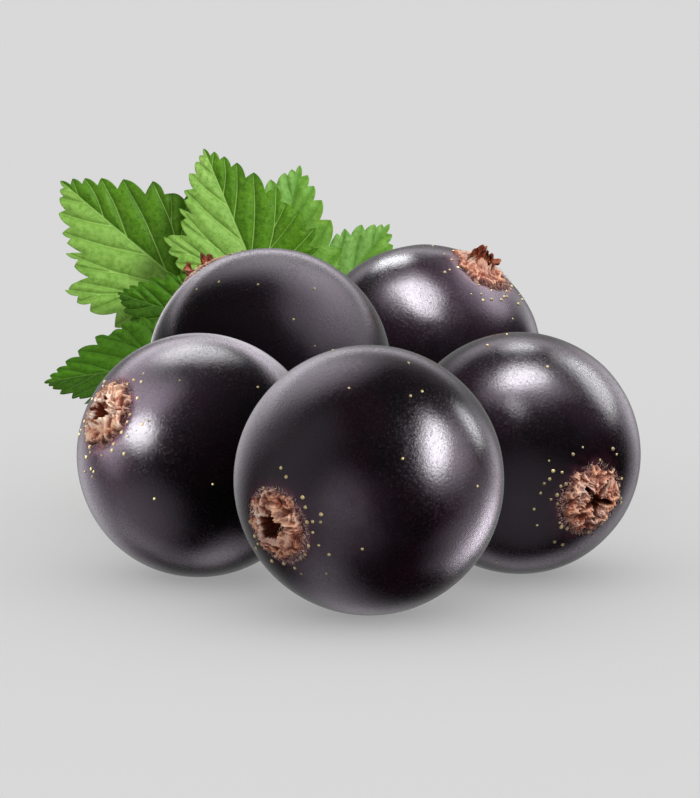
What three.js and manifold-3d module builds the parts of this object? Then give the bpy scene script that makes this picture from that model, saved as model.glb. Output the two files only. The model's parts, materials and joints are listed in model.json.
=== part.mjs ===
// A blackcurrant sprig lying as it was picked: five ripe berries on one green strig, with the
// young leaves of the same spur standing behind them. Millimetres, +Z up, the berries towards -Y.
import * as THREE from "three";
import { mergeVertices } from "three/addons/utils/BufferGeometryUtils.js";
import Module from "manifold-3d";

const wasm = await Module();
wasm.setup();

// Berries ------------------------------------------------------------------------------------
const BERRY_SIDES = 26;
const BERRY_ROWS = 13;
const REST_SINK = 0.1; // how far the skin of a resting berry is flattened
// A flat `floor` (a share of the radius), a wall up to `wall` of the depth, and a `lip` out to the skin.
const STEM_DIMPLE = { radius: 0.8, depth: 0.45, floor: 0.7, wall: 0.7, lip: 0.15 };
const CALYX_SEAT = { radius: 1.75, depth: 0.12, lip: 0.08 };

// `at` is a berry's centre, and `calyx` points from there to its dried flower.
const BERRIES = {
  front: { at: [0.87, 0, 6.25], radius: 6.25, calyx: [-0.67, -0.7, -0.22], rests: true },
  left: { at: [-7.29, 9.13, 5.93], radius: 5.93, calyx: [-0.74, -0.52, 0.43], rests: true },
  right: { at: [8.21, 9.89, 5.91], radius: 5.91, calyx: [0.55, -0.79, -0.26], rests: true },
  back_left: { at: [-4.11, 20.76, 8.35], radius: 6.25, calyx: [-0.55, 0.35, 0.76] },
  back_right: { at: [3.99, 30.55, 7.38], radius: 6.37, calyx: [0.49, -0.25, 0.83] },
};

// Calyxes ------------------------------------------------------------------------------------
const SEPALS = 5;
const CALYX_SIDES = 4 * SEPALS;
const CALYX_FOOT = 1.68;
const CALYX_GAP = 0.06; // between its foot and the berry's seat
const FOOT_TAPER = 0.92;
const CALYX_HOLLOW = 0.14; // how deep its middle lies under the skin
const CRUMPLE = { share: 0.06, waves: 7 };
const SEPAL_POINT = 1.5; // 1 for round sepals, more for pointed ones
// From the collar over the sepal tips into the hollow: the radius as a share of the foot or of
// `spread`, the height over the skin, and how much of the sepals' rise and lean shows there.
const CALYX_PROFILE = [
  { of: "foot", share: 0.93, over: 0.02, lift: 0, lean: 0.03 },
  { of: "foot", share: 0.72, over: 0.12, lift: 0.1, lean: 0.02 },
  { of: "spread", share: 1, over: 0.18, lift: 1, lean: 0.12 },
  { of: "spread", share: 0.68, over: 0.1, lift: 0.5, lean: 0.08 },
  { of: "spread", share: 0.42, over: -0.09, lift: 0, lean: 0 },
];
// `rise` is the height of the sepal tips over the skin, `spread` the radius they stand at.
const CALYXES = {
  front: { rise: 0.42, spread: 0.78, turn: 0.4 },
  left: { rise: 0.55, spread: 0.8, turn: 1.1 },
  right: { rise: 0.42, spread: 0.75, turn: 2 },
  back_left: { rise: 0.7, spread: 0.95, turn: 0.7 },
  back_right: { rise: 0.9, spread: 0.7, turn: 0.2 },
};

// Strig and spur -----------------------------------------------------------------------------
const RACHIS_RADIUS = 0.42;
const RACHIS_TAPER = 0.8; // the share of its radius that is left at its end
const NODE_SHARE = 1.3; // the swelling at a pedicel's start, as a share of the rachis
const NODE_RINGS = 6;
const PEDICEL_RADIUS = 0.27;
const PEDICEL_START = 1.15; // as a share of its radius
const PEDICEL_END = 0.4; // the swelling that meets the berry
const PEDICEL_STRAIGHT = 0.6;
const STALK_SIDES = 7;
const STALK_STEPS = 2; // rings between two points of a stalk
const SOCKET_GAP = 0.08;
const SOCKET_DEPTH = 1; // how far down a leaf's stalk goes from its last point

const RACHIS = [
  [-4.15, 32.6, 1.55],
  [-2.6, 30.2, 1.05],
  [-1.4, 26, 0.85],
  [-1.2, 21.5, 0.95],
  [-0.6, 17, 1.8],
  [0.3, 13.6, 3.4],
  [1.2, 10.8, 5.6],
];
// Each pedicel leaves the rachis at its first point, and ends straight in the dimple of its berry.
const PEDICELS = {
  front: [[1.2, 10.8, 5.6], [2.2, 7.7, 8.4], [3.8, 6.2, 9.9], [5, 5.4, 9.3], [5.4, 4.95, 8.3]],
  left: [[-0.6, 17, 1.8], [-0.9, 14.6, 1.9], [-1.6, 13, 2.3]],
  right: [[0.3, 13.6, 3.4], [1.6, 15.2, 5.2], [3.3, 15.6, 6.9]],
  back_left: [[-1.2, 21.5, 0.95], [-0.5, 20.4, 1.35], [-0.35, 19.3, 2.3]],
  back_right: [[-2.6, 30.2, 1.05], [-1.4, 31.7, 0.75], [0, 32.5, 0.9]],
};

const SPUR = [[-9, 39.6, 1.04], [-7.6, 37.8, 1.06], [-6.2, 36, 1.2], [-5.1, 34.6, 1.55], [-4.5, 33.5, 1.6]];
const SPUR_RADII = [1.1, 1.08, 1.25, 1.6, 1.2];
const SPUR_SIDES = 12;

// Leaves -------------------------------------------------------------------------------------
const BLADE_THICKNESS = 0.6;
const BLADE_FOLD = 0.16; // rise of the blade's two halves away from the midrib, a slope
const BLADE_CURL = 0.05; // how far the tip falls back, for a blade of length 1
const BLADE_RINGS = [0.55, 1]; // shares of the way from the blade's middle to its edge
const BLADE_MIDDLE = [0, 0.12];
const PETIOLE_RADIUS = 0.3;
const PETIOLE_SHARES = [0.75, 0.8, 1, 1, 1.25]; // its radius at each point of its way
const PETIOLE_START = 0.1; // where in the blade it starts, on the way to the tip
const TOOTH_CUT = 0.45; // depth of the notch below a tooth, as a share of the distance to the next
const NOTCH_AT = 0.78; // where that notch lies on the way to the next tooth
const TOOTH_BELLY = 0.12;

// Half outlines of the blade from its tip to its stalk, for a blade of length 1 from stalk to tip.
// Each tooth is [distance from the midrib, height over the stalk, depth of the notch below it].
const RIGHT_TEETH = [
  [0, 1], [0.06, 0.95], [0.112, 0.892], [0.178, 0.815], [0.26, 0.705], [0.37, 0.555, 0.2],
  [0.385, 0.42, 0.3], [0.45, 0.335, 0.35], [0.51, 0.18], [0.47, 0.04], [0.3, -0.07, 0.25], [0, 0],
];
const LEFT_TEETH = [
  [0, 1], [0.042, 0.965], [0.083, 0.933], [0.158, 0.875], [0.237, 0.778], [0.265, 0.713, 1.5],
  [0.318, 0.677], [0.345, 0.585, 0.8], [0.413, 0.511, 0.15], [0.493, 0.533, 0.3], [0.504, 0.425],
  [0.492, 0.33], [0.47, 0.15], [0.38, -0.02], [0.22, -0.08, 0.25], [0, 0],
];

// `at` is where the blade meets its stalk, `tip` the tip of its middle lobe, `facing` the side it
// shows, `petiole` the way of the stalk from the blade to the spur, and `width` the share of the
// usual width that a narrow blade has.
const LEAVES = {
  left: {
    at: [-8.95, 31.3, 11.45], tip: [-15.55, 32.05, 17], facing: [0, -0.99, 0.14],
    petiole: [[-8, 31.4, 10.3], [-6.3, 32.6, 6.4], [-5.7, 34.1, 3]],
  },
  top: {
    at: [-4.85, 29.8, 11.9], tip: [-7.8, 30.75, 18.85], facing: [0, -0.99, 0.14],
    petiole: [[-4.4, 29.75, 10.7], [-3.7, 31.1, 6.4], [-3.95, 33.6, 2.9]],
  },
  behind: {
    at: [-4.6, 36.4, 8.75], tip: [-2.75, 37.6, 17.35], facing: [0, -0.99, 0.14],
    petiole: [[-4.8, 36.25, 7.6], [-5.05, 35.8, 5.1], [-5, 35, 2.9]],
  },
  right: {
    at: [-2.4, 38.2, 7.9], tip: [2.2, 39.05, 13.95], facing: [0, -0.99, 0.14],
    petiole: [[-2.95, 38.05, 7.1], [-3.8, 36.6, 4.8], [-4, 34.6, 2.8]],
  },
  low: {
    at: [-9.55, 26, 7.85], tip: [-16.1, 26.3, 7], facing: [-0.1, -0.86, 0.5], width: 0.8,
    petiole: [[-8.7, 26.4, 7.8], [-7.1, 30, 5.6], [-6.1, 33.1, 2.5]],
  },
  inner: {
    at: [-7.6, 28.3, 9.85], tip: [-12.35, 28.75, 11.35], facing: [-0.05, -0.99, 0.14],
    petiole: [[-6.9, 28.3, 9.6], [-5.1, 30, 6.3], [-4.95, 33, 2.8]],
  },
};

// Colours ------------------------------------------------------------------------------------
const FINISH = {
  skin: { color: 0x1d1622, roughness: 0.35, metalness: 0 },
  calyx: { color: 0x8a5a3c, roughness: 0.85, metalness: 0 },
  strig: { color: 0x7c9a45, roughness: 0.6, metalness: 0 },
  spur: { color: 0x7a6248, roughness: 0.85, metalness: 0 },
  blade: { color: 0x5c9a2b, roughness: 0.55, metalness: 0 },
};

const v3 = (p) => new THREE.Vector3(...p);

// A closed surface as a solid for cutting and joining.
function solidOf(geometry) {
  const bare = geometry.clone().deleteAttribute("normal").deleteAttribute("uv");
  const merged = mergeVertices(bare, 1e-4);
  const mesh = new wasm.Mesh({
    numProp: 3,
    vertProperties: merged.attributes.position.array,
    triVerts: new Uint32Array(merged.index.array),
  });
  return new wasm.Manifold(mesh);
}

function geometryOf(solid) {
  const mesh = solid.getMesh();
  const geometry = new THREE.BufferGeometry();
  geometry.setAttribute("position", new THREE.BufferAttribute(mesh.vertProperties, 3));
  geometry.setIndex(new THREE.BufferAttribute(mesh.triVerts, 1));
  geometry.computeVertexNormals();
  return geometry;
}

// Closed skin over rings of points with the same count, each end closed on a single point.
function skinOver(start, rings, end) {
  const sides = rings[0].length;
  const points = [start, ...rings.flat(), end];
  const index = [];
  const ringPoint = (ring, side) => 1 + ring * sides + (side % sides);
  for (let side = 0; side < sides; side++) {
    index.push(0, ringPoint(0, side + 1), ringPoint(0, side));
    for (let ring = 0; ring + 1 < rings.length; ring++) {
      const [a, b] = [ringPoint(ring, side), ringPoint(ring, side + 1)];
      const [c, d] = [ringPoint(ring + 1, side), ringPoint(ring + 1, side + 1)];
      index.push(a, b, d, a, d, c);
    }
    const last = rings.length - 1;
    index.push(points.length - 1, ringPoint(last, side), ringPoint(last, side + 1));
  }
  const geometry = new THREE.BufferGeometry();
  const coordinates = points.flatMap((p) => p.toArray());
  geometry.setAttribute("position", new THREE.Float32BufferAttribute(coordinates, 3));
  geometry.setIndex(index);
  geometry.computeVertexNormals();
  return geometry;
}

// A round stalk along a smooth line through the points, as thick at each as its radius says.
function stalk(points, radii, sides = STALK_SIDES) {
  const steps = STALK_STEPS * (points.length - 1);
  const line = new THREE.CatmullRomCurve3(points.map(v3));
  const frames = line.computeFrenetFrames(steps);
  const rings = [];
  for (let i = 0; i <= steps; i++) {
    const along = i / STALK_STEPS;
    const from = Math.min(Math.floor(along), points.length - 2);
    const radius = THREE.MathUtils.lerp(radii[from], radii[from + 1], along - from);
    const centre = line.getPoint(i / steps);
    rings.push(
      Array.from({ length: sides }, (_, side) => {
        const angle = (2 * Math.PI * side) / sides;
        return centre
          .clone()
          .addScaledVector(frames.normals[i], radius * Math.cos(angle))
          .addScaledVector(frames.binormals[i], radius * Math.sin(angle));
      }),
    );
  }
  return skinOver(v3(points[0]), rings, v3(points.at(-1)));
}

// A berry about its own axis, the calyx up: a round body with a dimple for its stalk below and a
// shallow seat for its calyx above.
function berryGeometry(radius) {
  const dimple = STEM_DIMPLE;
  const seat = CALYX_SEAT;
  const first = Math.asin((dimple.radius + dimple.lip) / radius);
  const last = Math.PI - Math.asin((seat.radius + seat.lip) / radius);
  const profile = [
    new THREE.Vector2(0, dimple.depth - radius),
    new THREE.Vector2(dimple.floor * dimple.radius, dimple.depth - radius),
    new THREE.Vector2(dimple.radius, (1 - dimple.wall) * dimple.depth - radius),
  ];
  for (let row = 0; row < BERRY_ROWS; row++) {
    const angle = THREE.MathUtils.lerp(first, last, row / (BERRY_ROWS - 1));
    profile.push(new THREE.Vector2(radius * Math.sin(angle), -radius * Math.cos(angle)));
  }
  const seatHeight = Math.sqrt(radius ** 2 - seat.radius ** 2) - seat.depth;
  profile.push(new THREE.Vector2(seat.radius, seatHeight), new THREE.Vector2(0, seatHeight));
  return new THREE.LatheGeometry(profile, BERRY_SIDES);
}

const axisTurn = (direction) =>
  new THREE.Quaternion().setFromUnitVectors(new THREE.Vector3(0, 1, 0), v3(direction).normalize());

function berry(name, { at, radius, calyx, rests }) {
  const turn = axisTurn(calyx);
  let solid = solidOf(berryGeometry(radius));
  if (rests) {
    const ground = new THREE.Vector3(0, 0, 1).applyQuaternion(turn.clone().invert());
    solid = solid.trimByPlane(ground.toArray(), REST_SINK - radius);
  }
  const mesh = new THREE.Mesh(geometryOf(solid), new THREE.MeshStandardMaterial(FINISH.skin));
  mesh.name = `berry_${name}`;
  mesh.position.set(at[0], at[1], at[2] - (rests ? REST_SINK : 0));
  mesh.quaternion.copy(turn);
  return mesh;
}

// The dried flower: a crumpled ring whose five sepals stand round a dark hollow.
function calyxGeometry(radius, { rise, spread, turn }) {
  const skin = (r) => Math.sqrt(radius ** 2 - r ** 2);
  const foot = skin(CALYX_SEAT.radius) - CALYX_SEAT.depth + CALYX_GAP;
  const tip = CALYX_PROFILE.find(({ lift }) => lift === 1).over;
  const ring = (ringRadius, height, lift, lean) =>
    Array.from({ length: CALYX_SIDES }, (_, side) => {
      const angle = (-2 * Math.PI * side) / CALYX_SIDES;
      const sepal = Math.abs(Math.cos((SEPALS * angle) / 2 + turn)) ** SEPAL_POINT;
      const crumple = CRUMPLE.share * Math.sin(CRUMPLE.waves * angle + 3 * turn) * ringRadius;
      const r = ringRadius + crumple + lean * sepal;
      const lifted = height + lift * (rise - tip) * sepal;
      return new THREE.Vector3(r * Math.cos(angle), lifted, r * Math.sin(angle));
    });
  const rings = CALYX_PROFILE.map(({ of, share, over, lift, lean }) => {
    const ringRadius = share * (of === "foot" ? CALYX_FOOT : spread);
    return ring(ringRadius, skin(ringRadius) + over, lift, lean);
  });
  const start = ring(FOOT_TAPER * CALYX_FOOT, foot, 0, 0);
  const hollow = new THREE.Vector3(0, radius - CALYX_HOLLOW, 0);
  return skinOver(new THREE.Vector3(0, foot, 0), [start, ...rings], hollow);
}

function calyx(name, { at, radius, calyx: direction, rests }) {
  const material = new THREE.MeshStandardMaterial(FINISH.calyx);
  const mesh = new THREE.Mesh(calyxGeometry(radius, CALYXES[name]), material);
  mesh.name = `calyx_${name}`;
  mesh.position.set(at[0], at[1], at[2] - (rests ? REST_SINK : 0));
  mesh.quaternion.copy(axisTurn(direction));
  return mesh;
}

// A point on a berry's axis, so far outside the bottom of its stem dimple.
function dimplePoint({ at, radius, calyx: direction, rests }, outside) {
  const reach = radius - STEM_DIMPLE.depth + SOCKET_GAP + outside;
  const point = v3(at).addScaledVector(v3(direction).normalize(), -reach);
  point.z -= rests ? REST_SINK : 0;
  return point.toArray();
}

function strigSolid() {
  const last = RACHIS.length - 1;
  const rachisRadii = RACHIS.map((_, i) => RACHIS_RADIUS * THREE.MathUtils.lerp(1, RACHIS_TAPER, i / last));
  let solid = solidOf(stalk(RACHIS, rachisRadii));
  for (const [name, points] of Object.entries(PEDICELS)) {
    const path = [...points, dimplePoint(BERRIES[name], PEDICEL_STRAIGHT), dimplePoint(BERRIES[name], 0)];
    const radii = [PEDICEL_START * PEDICEL_RADIUS, ...points.map(() => PEDICEL_RADIUS), PEDICEL_END];
    const node = new THREE.SphereGeometry(NODE_SHARE * RACHIS_RADIUS, STALK_SIDES, NODE_RINGS);
    solid = solid.add(solidOf(stalk(path, radii))).add(solidOf(node.translate(...points[0])));
  }
  return solid;
}

function strig() {
  const mesh = new THREE.Mesh(geometryOf(strigSolid()), new THREE.MeshStandardMaterial(FINISH.strig));
  mesh.name = "strig";
  return mesh;
}

// One edge of the blade from its tip down, on the right of the midrib: under every tooth a bowed
// stretch, then a notch close above the next tooth.
function bladeEdge(teeth) {
  const points = [];
  for (let i = 0; i + 1 < teeth.length; i++) {
    const [across, along, cut = TOOTH_CUT] = teeth[i];
    const tip = new THREE.Vector2(across, along);
    const step = new THREE.Vector2(teeth[i + 1][0], teeth[i + 1][1]).sub(tip);
    const inward = new THREE.Vector2(step.y, -step.x);
    const notch = tip.clone().addScaledVector(step, NOTCH_AT).addScaledVector(inward, cut);
    const belly = tip.clone().lerp(notch, 0.5).addScaledVector(inward, -TOOTH_BELLY);
    points.push(tip, belly, notch);
  }
  return points;
}

// The whole edge, counterclockwise from the foot of the right half.
function bladeOutline() {
  const right = bladeEdge(RIGHT_TEETH).reverse();
  const left = bladeEdge(LEFT_TEETH).map((p) => new THREE.Vector2(-p.x, p.y));
  return [...right, ...left.slice(1)];
}

const bladeRelief = (across, along) => BLADE_FOLD * Math.abs(across) - BLADE_CURL * along * Math.abs(along);

// The blade in its own frame: X across, Y to the tip, Z to the side it shows.
function bladeGeometry(length, width) {
  const outline = bladeOutline();
  const middle = new THREE.Vector2(...BLADE_MIDDLE);
  const point = (flat, side) =>
    new THREE.Vector3(
      length * width * flat.x,
      length * flat.y,
      length * bladeRelief(flat.x, flat.y) + (side * BLADE_THICKNESS) / 2,
    );
  const ring = (share, side) => outline.map((p) => point(middle.clone().lerp(p, share), side));
  const face = (side) => BLADE_RINGS.map((share) => ring(share, side));
  const rings = [...face(-1), ...face(1).reverse()];
  return skinOver(point(middle, -1), rings, point(middle, 1));
}

function leafFrame({ at, tip, facing }) {
  const up = v3(tip).sub(v3(at)).normalize();
  const across = up.clone().cross(v3(facing)).normalize();
  const out = across.clone().cross(up);
  return new THREE.Matrix4().makeBasis(across, up, out).setPosition(...at);
}

const petioleRadii = (spare) => PETIOLE_SHARES.map((share) => share * PETIOLE_RADIUS + spare);

// The whole way of a leaf's stalk, from just inside the blade into the spur.
function petiolePath({ at, tip, petiole }, deeper = 0) {
  const inBlade = v3(at).lerp(v3(tip), PETIOLE_START).toArray();
  const [x, y, z] = petiole.at(-1);
  return [inBlade, ...petiole, [x, y, z - SOCKET_DEPTH - deeper]];
}

function leaf(name, spec) {
  const frame = leafFrame(spec);
  const length = v3(spec.tip).distanceTo(v3(spec.at));
  const inverse = frame.clone().invert();
  const petiole = stalk(petiolePath(spec), petioleRadii(0)).applyMatrix4(inverse);
  const solid = solidOf(bladeGeometry(length, spec.width ?? 1)).add(solidOf(petiole));
  const mesh = new THREE.Mesh(geometryOf(solid), new THREE.MeshStandardMaterial(FINISH.blade));
  mesh.name = `leaf_${name}`;
  frame.decompose(mesh.position, mesh.quaternion, mesh.scale);
  return mesh;
}

// The woody spur, with a socket for every stalk that grows from its bud.
function spur() {
  let solid = solidOf(stalk(SPUR, SPUR_RADII, SPUR_SIDES)).trimByPlane([0, 0, 1], 0);
  for (const spec of Object.values(LEAVES)) {
    solid = solid.subtract(solidOf(stalk(petiolePath(spec, SOCKET_GAP), petioleRadii(SOCKET_GAP))));
  }
  const [end, next] = RACHIS.map(v3);
  const bottom = end.clone().lerp(next, -SOCKET_GAP / end.distanceTo(next));
  const strigSocket = stalk([bottom.toArray(), next.toArray()], [1, 1].map(() => RACHIS_RADIUS + SOCKET_GAP));
  solid = solid.subtract(solidOf(strigSocket));
  const mesh = new THREE.Mesh(geometryOf(solid), new THREE.MeshStandardMaterial(FINISH.spur));
  mesh.name = "spur";
  return mesh;
}

const sprig = new THREE.Group();
for (const [name, spec] of Object.entries(BERRIES)) sprig.add(berry(name, spec), calyx(name, spec));
sprig.add(strig(), spur());
for (const [name, spec] of Object.entries(LEAVES)) sprig.add(leaf(name, spec));

// The middle of the sprig's outline on the ground is the origin.
const bounds = new THREE.Box3().setFromObject(sprig, true);
sprig.position.set(-(bounds.min.x + bounds.max.x) / 2, -(bounds.min.y + bounds.max.y) / 2, 0);

export default sprig;
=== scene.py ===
"""Blackcurrant sprig: the finish of a cut sprig that lies on a table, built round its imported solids.

Five ripe berries with their dried flowers, the green strig that carries them, the woody spur and its
six young leaves. Each group of like pieces is one operator, and the panel Sprig in the 3D view's
sidebar lists them with their sizes and colours. Places in the drawing of the sprig are written in
millimetres, and drawn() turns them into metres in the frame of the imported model.
"""

import json
import math
import random

import bpy
import numpy as np
from bpy.props import FloatProperty, FloatVectorProperty, IntProperty, PointerProperty
from mathutils import Matrix, Vector, geometry, noise

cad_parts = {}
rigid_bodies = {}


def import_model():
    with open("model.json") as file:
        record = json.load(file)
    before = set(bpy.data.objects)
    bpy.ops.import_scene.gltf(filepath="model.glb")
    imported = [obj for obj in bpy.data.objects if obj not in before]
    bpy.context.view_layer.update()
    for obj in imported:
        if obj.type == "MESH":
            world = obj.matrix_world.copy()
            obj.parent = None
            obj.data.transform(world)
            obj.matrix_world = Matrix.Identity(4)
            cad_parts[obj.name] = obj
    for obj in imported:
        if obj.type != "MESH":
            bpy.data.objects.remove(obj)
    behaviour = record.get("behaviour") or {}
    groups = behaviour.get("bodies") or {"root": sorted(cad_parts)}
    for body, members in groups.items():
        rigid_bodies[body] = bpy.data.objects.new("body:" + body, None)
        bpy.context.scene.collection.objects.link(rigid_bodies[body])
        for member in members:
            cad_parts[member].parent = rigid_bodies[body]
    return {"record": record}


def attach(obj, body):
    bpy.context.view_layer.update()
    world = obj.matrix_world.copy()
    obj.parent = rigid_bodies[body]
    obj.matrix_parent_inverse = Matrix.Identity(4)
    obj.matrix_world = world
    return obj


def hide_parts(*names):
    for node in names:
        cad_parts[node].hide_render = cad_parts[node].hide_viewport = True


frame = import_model()

bl_info = {
    "name": "Blackcurrant Sprig",
    "version": (1, 0, 0),
    "blender": (4, 5, 0),
    "location": "View3D > Sidebar > Sprig",
    "description": "Berries, calyxes, leaves, strig and spur of a blackcurrant sprig, and a stage for it",
    "category": "Add Mesh",
}

MM = 0.001
MICRON = 1e-6
BODY = "root"

# The drawing, in millimetres --------------------------------------------------------------------
REST_SINK = 0.1  # a resting berry is flattened by this much where it lies
CALYX_RADIUS = 1.7
STEM_DIMPLE = {"radius": 0.6, "depth": 0.45}

# `at` is a berry's centre and `calyx` points from there to its dried flower. `dents` says how uneven
# its skin is. On the side towards the camera, `bloom` lists soft patches of wax, partly painted sheen
# round the highlights (right and up of the middle and size, as shares of the radius, and strength), and
# `specks` single glands (right and up of the middle, in millimetres).
BERRIES = {
    "front": {
        "at": (0.87, 0, 6.25), "radius": 6.25, "calyx": (-0.67, -0.7, -0.22), "rests": True, "dents": 0.25,
        "bloom": ((-0.17, -0.2, 0.22, 0.9), (-0.12, -0.42, 0.2, 0.5), (-0.45, -0.8, 0.2, 0.4)),
        "specks": ((2.38, 4.1), (1.85, 3.9), (1.79, 5.41), (-0.93, 4.24), (1.47, 1.09), (4.88, -0.19),
                   (-0.33, -2.97), (-1.94, -4.11), (-2.28, -2.82)),
    },
    "left": {
        "at": (-7.29, 9.13, 5.93), "radius": 5.93, "calyx": (-0.74, -0.52, 0.43), "rests": True, "dents": 0.3,
        "bloom": ((-0.35, 0.6, 0.4, 0.5), (-0.7, -0.15, 0.25, 0.4)),
        "specks": ((-0.73, 3.6), (2.95, 3.28), (-1.9, -1.98), (0.87, -1.29), (-5.38, -0.77), (-4.97, -0.97)),
    },
    "right": {
        "at": (8.21, 9.89, 5.91), "radius": 5.91, "calyx": (0.55, -0.79, -0.26), "rests": True, "dents": 0.5,
        "bloom": ((-0.3, 0.35, 0.35, 0.25), (0.45, 0.3, 0.3, 0.2)),
        "specks": ((-1.65, 5.23), (1.17, 4.18), (2.79, 0.34), (1.15, -0.29), (0.76, -1.83), (0.47, -2.59),
                   (-1.23, -5.19)),
    },
    "back_left": {
        "at": (-4.11, 20.76, 8.35), "radius": 6.25, "calyx": (-0.55, 0.35, 0.76), "rests": False,
        "dents": 0.3,
        "bloom": ((0.45, 0.1, 0.5, 0.3),),
        "specks": ((-3.62, 4.04), (-2.48, 4.41), (-0.49, 4.25), (2.34, 4.06), (1.31, 2.48), (2.37, 1.15)),
    },
    "back_right": {
        "at": (3.99, 30.55, 7.38), "radius": 6.37, "calyx": (0.49, -0.25, 0.83), "rests": False, "dents": 1.2,
        "bloom": ((0.3, 0.5, 0.5, 0.5),),
        "specks": ((4.6, 2.27), (2.41, 3.6), (5.09, 3.6), (1.02, 5.81)),
    },
}

# How each dried flower has shrivelled: the radius of its open hollow, the number of the hollow's points
# and the depth of the cuts between them, the height of its lip, the depth of its folds (`relief`), its
# sepals (how many stand up and how long they are), where the hollow lies off the berry's axis (`off`)
# and its tone (`pale`, from 0 for brown to 1 for pale).
CALYXES = {
    "front": {
        "hollow": 0.66, "lobes": 5, "cut": 0.28, "lip": 0.14, "relief": 1.0,
        "sepals": (5, 0.2), "off": (-0.28, 0.0, -0.02), "pale": 0.33,
    },
    "left": {
        "hollow": 0.5, "lobes": 4, "cut": 0.3, "lip": 0.2, "relief": 0.8,
        "sepals": (5, 0.35), "off": (-0.45, -0.2, 0.3), "pale": 1.0,
    },
    "right": {
        "hollow": 0.8, "lobes": 5, "cut": 0.62, "lip": 0.22, "relief": 1.0,
        "sepals": (5, 0.2), "off": (0.16, 0, 0), "pale": 0.25,
    },
    "back_left": {
        "hollow": 0.5, "lobes": 5, "cut": 0.4, "lip": 0.2, "relief": 0.5,
        "sepals": (5, 0.8), "off": (0, 0, 0), "pale": 0.6,
    },
    "back_right": {
        "hollow": 0.3, "lobes": 5, "cut": 0.4, "lip": 0.5, "relief": 0.45,
        "sepals": (6, 0.8), "off": (-0.2, 0, 0.2), "pale": 0.32,
    },
}

# The strig: the way of its rachis from the spur on, and of each pedicel from there to its berry.
RACHIS_RADIUS = 0.42
PEDICEL_RADIUS = 0.27
PEDICEL_END = 0.4  # its radius where it meets the berry
PEDICEL_STRAIGHT = 0.6  # it runs along the berry's axis from so far outside the dimple's bottom
SOCKET_GAP = 0.08
RACHIS = (
    (-4.15, 32.6, 1.55), (-2.6, 30.2, 1.05), (-1.4, 26, 0.85), (-1.2, 21.5, 0.95), (-0.6, 17, 1.8),
    (0.3, 13.6, 3.4), (1.2, 10.8, 5.6),
)
PEDICELS = {
    "front": ((1.2, 10.8, 5.6), (2.2, 7.7, 8.4), (3.8, 6.2, 9.9), (5, 5.4, 9.3), (5.4, 4.95, 8.3)),
    "left": ((-0.6, 17, 1.8), (-0.9, 14.6, 1.9), (-1.6, 13, 2.3)),
    "right": ((0.3, 13.6, 3.4), (1.6, 15.2, 5.2), (3.3, 15.6, 6.9)),
    "back_left": ((-1.2, 21.5, 0.95), (-0.5, 20.4, 1.35), (-0.35, 19.3, 2.3)),
    "back_right": ((-2.6, 30.2, 1.05), (-1.4, 31.7, 0.75), (0, 32.5, 0.9)),
}
# The woody spur, from its cut end to the bud.
SPUR = ((-9, 39.6, 1.04), (-7.6, 37.8, 1.06), (-6.2, 36, 1.2), (-5.1, 34.6, 1.55), (-4.5, 33.5, 1.6))
SPUR_RADII = (1.1, 1.08, 1.25, 1.6, 1.2)

# Half outlines of a blade of length 1 from its tip to its stalk: each tooth is its distance from the
# midrib, its height over the stalk, and the depth of the notch below it. A notch's depth and its place,
# and the belly of a tooth, are shares of the step from that tooth to the next.
TOOTH_CUT = 0.45  # depth of a notch that doesn't give its own
NOTCH_AT = 0.78
TOOTH_BELLY = 0.12
NOTCH_BOW = 0.06  # bow from a notch to the next tooth, as a share of its length
RIGHT_TEETH = (
    (0, 1), (0.06, 0.95), (0.112, 0.892), (0.178, 0.815), (0.26, 0.705), (0.37, 0.555, 0.2),
    (0.385, 0.42, 0.3), (0.45, 0.335, 0.35), (0.51, 0.18), (0.47, 0.04), (0.3, -0.07, 0.25), (0, 0),
)
LEFT_TEETH = (
    (0, 1), (0.042, 0.965), (0.083, 0.933), (0.158, 0.875), (0.237, 0.778), (0.265, 0.713, 1.5),
    (0.318, 0.677), (0.345, 0.585, 0.8), (0.413, 0.511, 0.15), (0.493, 0.533, 0.3), (0.504, 0.425),
    (0.492, 0.33), (0.47, 0.15), (0.38, -0.02), (0.22, -0.08, 0.25), (0, 0),
)
BLADE_FOLD = 0.16  # rise of the halves away from the midrib
BLADE_CURL = 0.05  # how far the tip curls back
PETIOLE_RADIUS = 0.3

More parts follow.
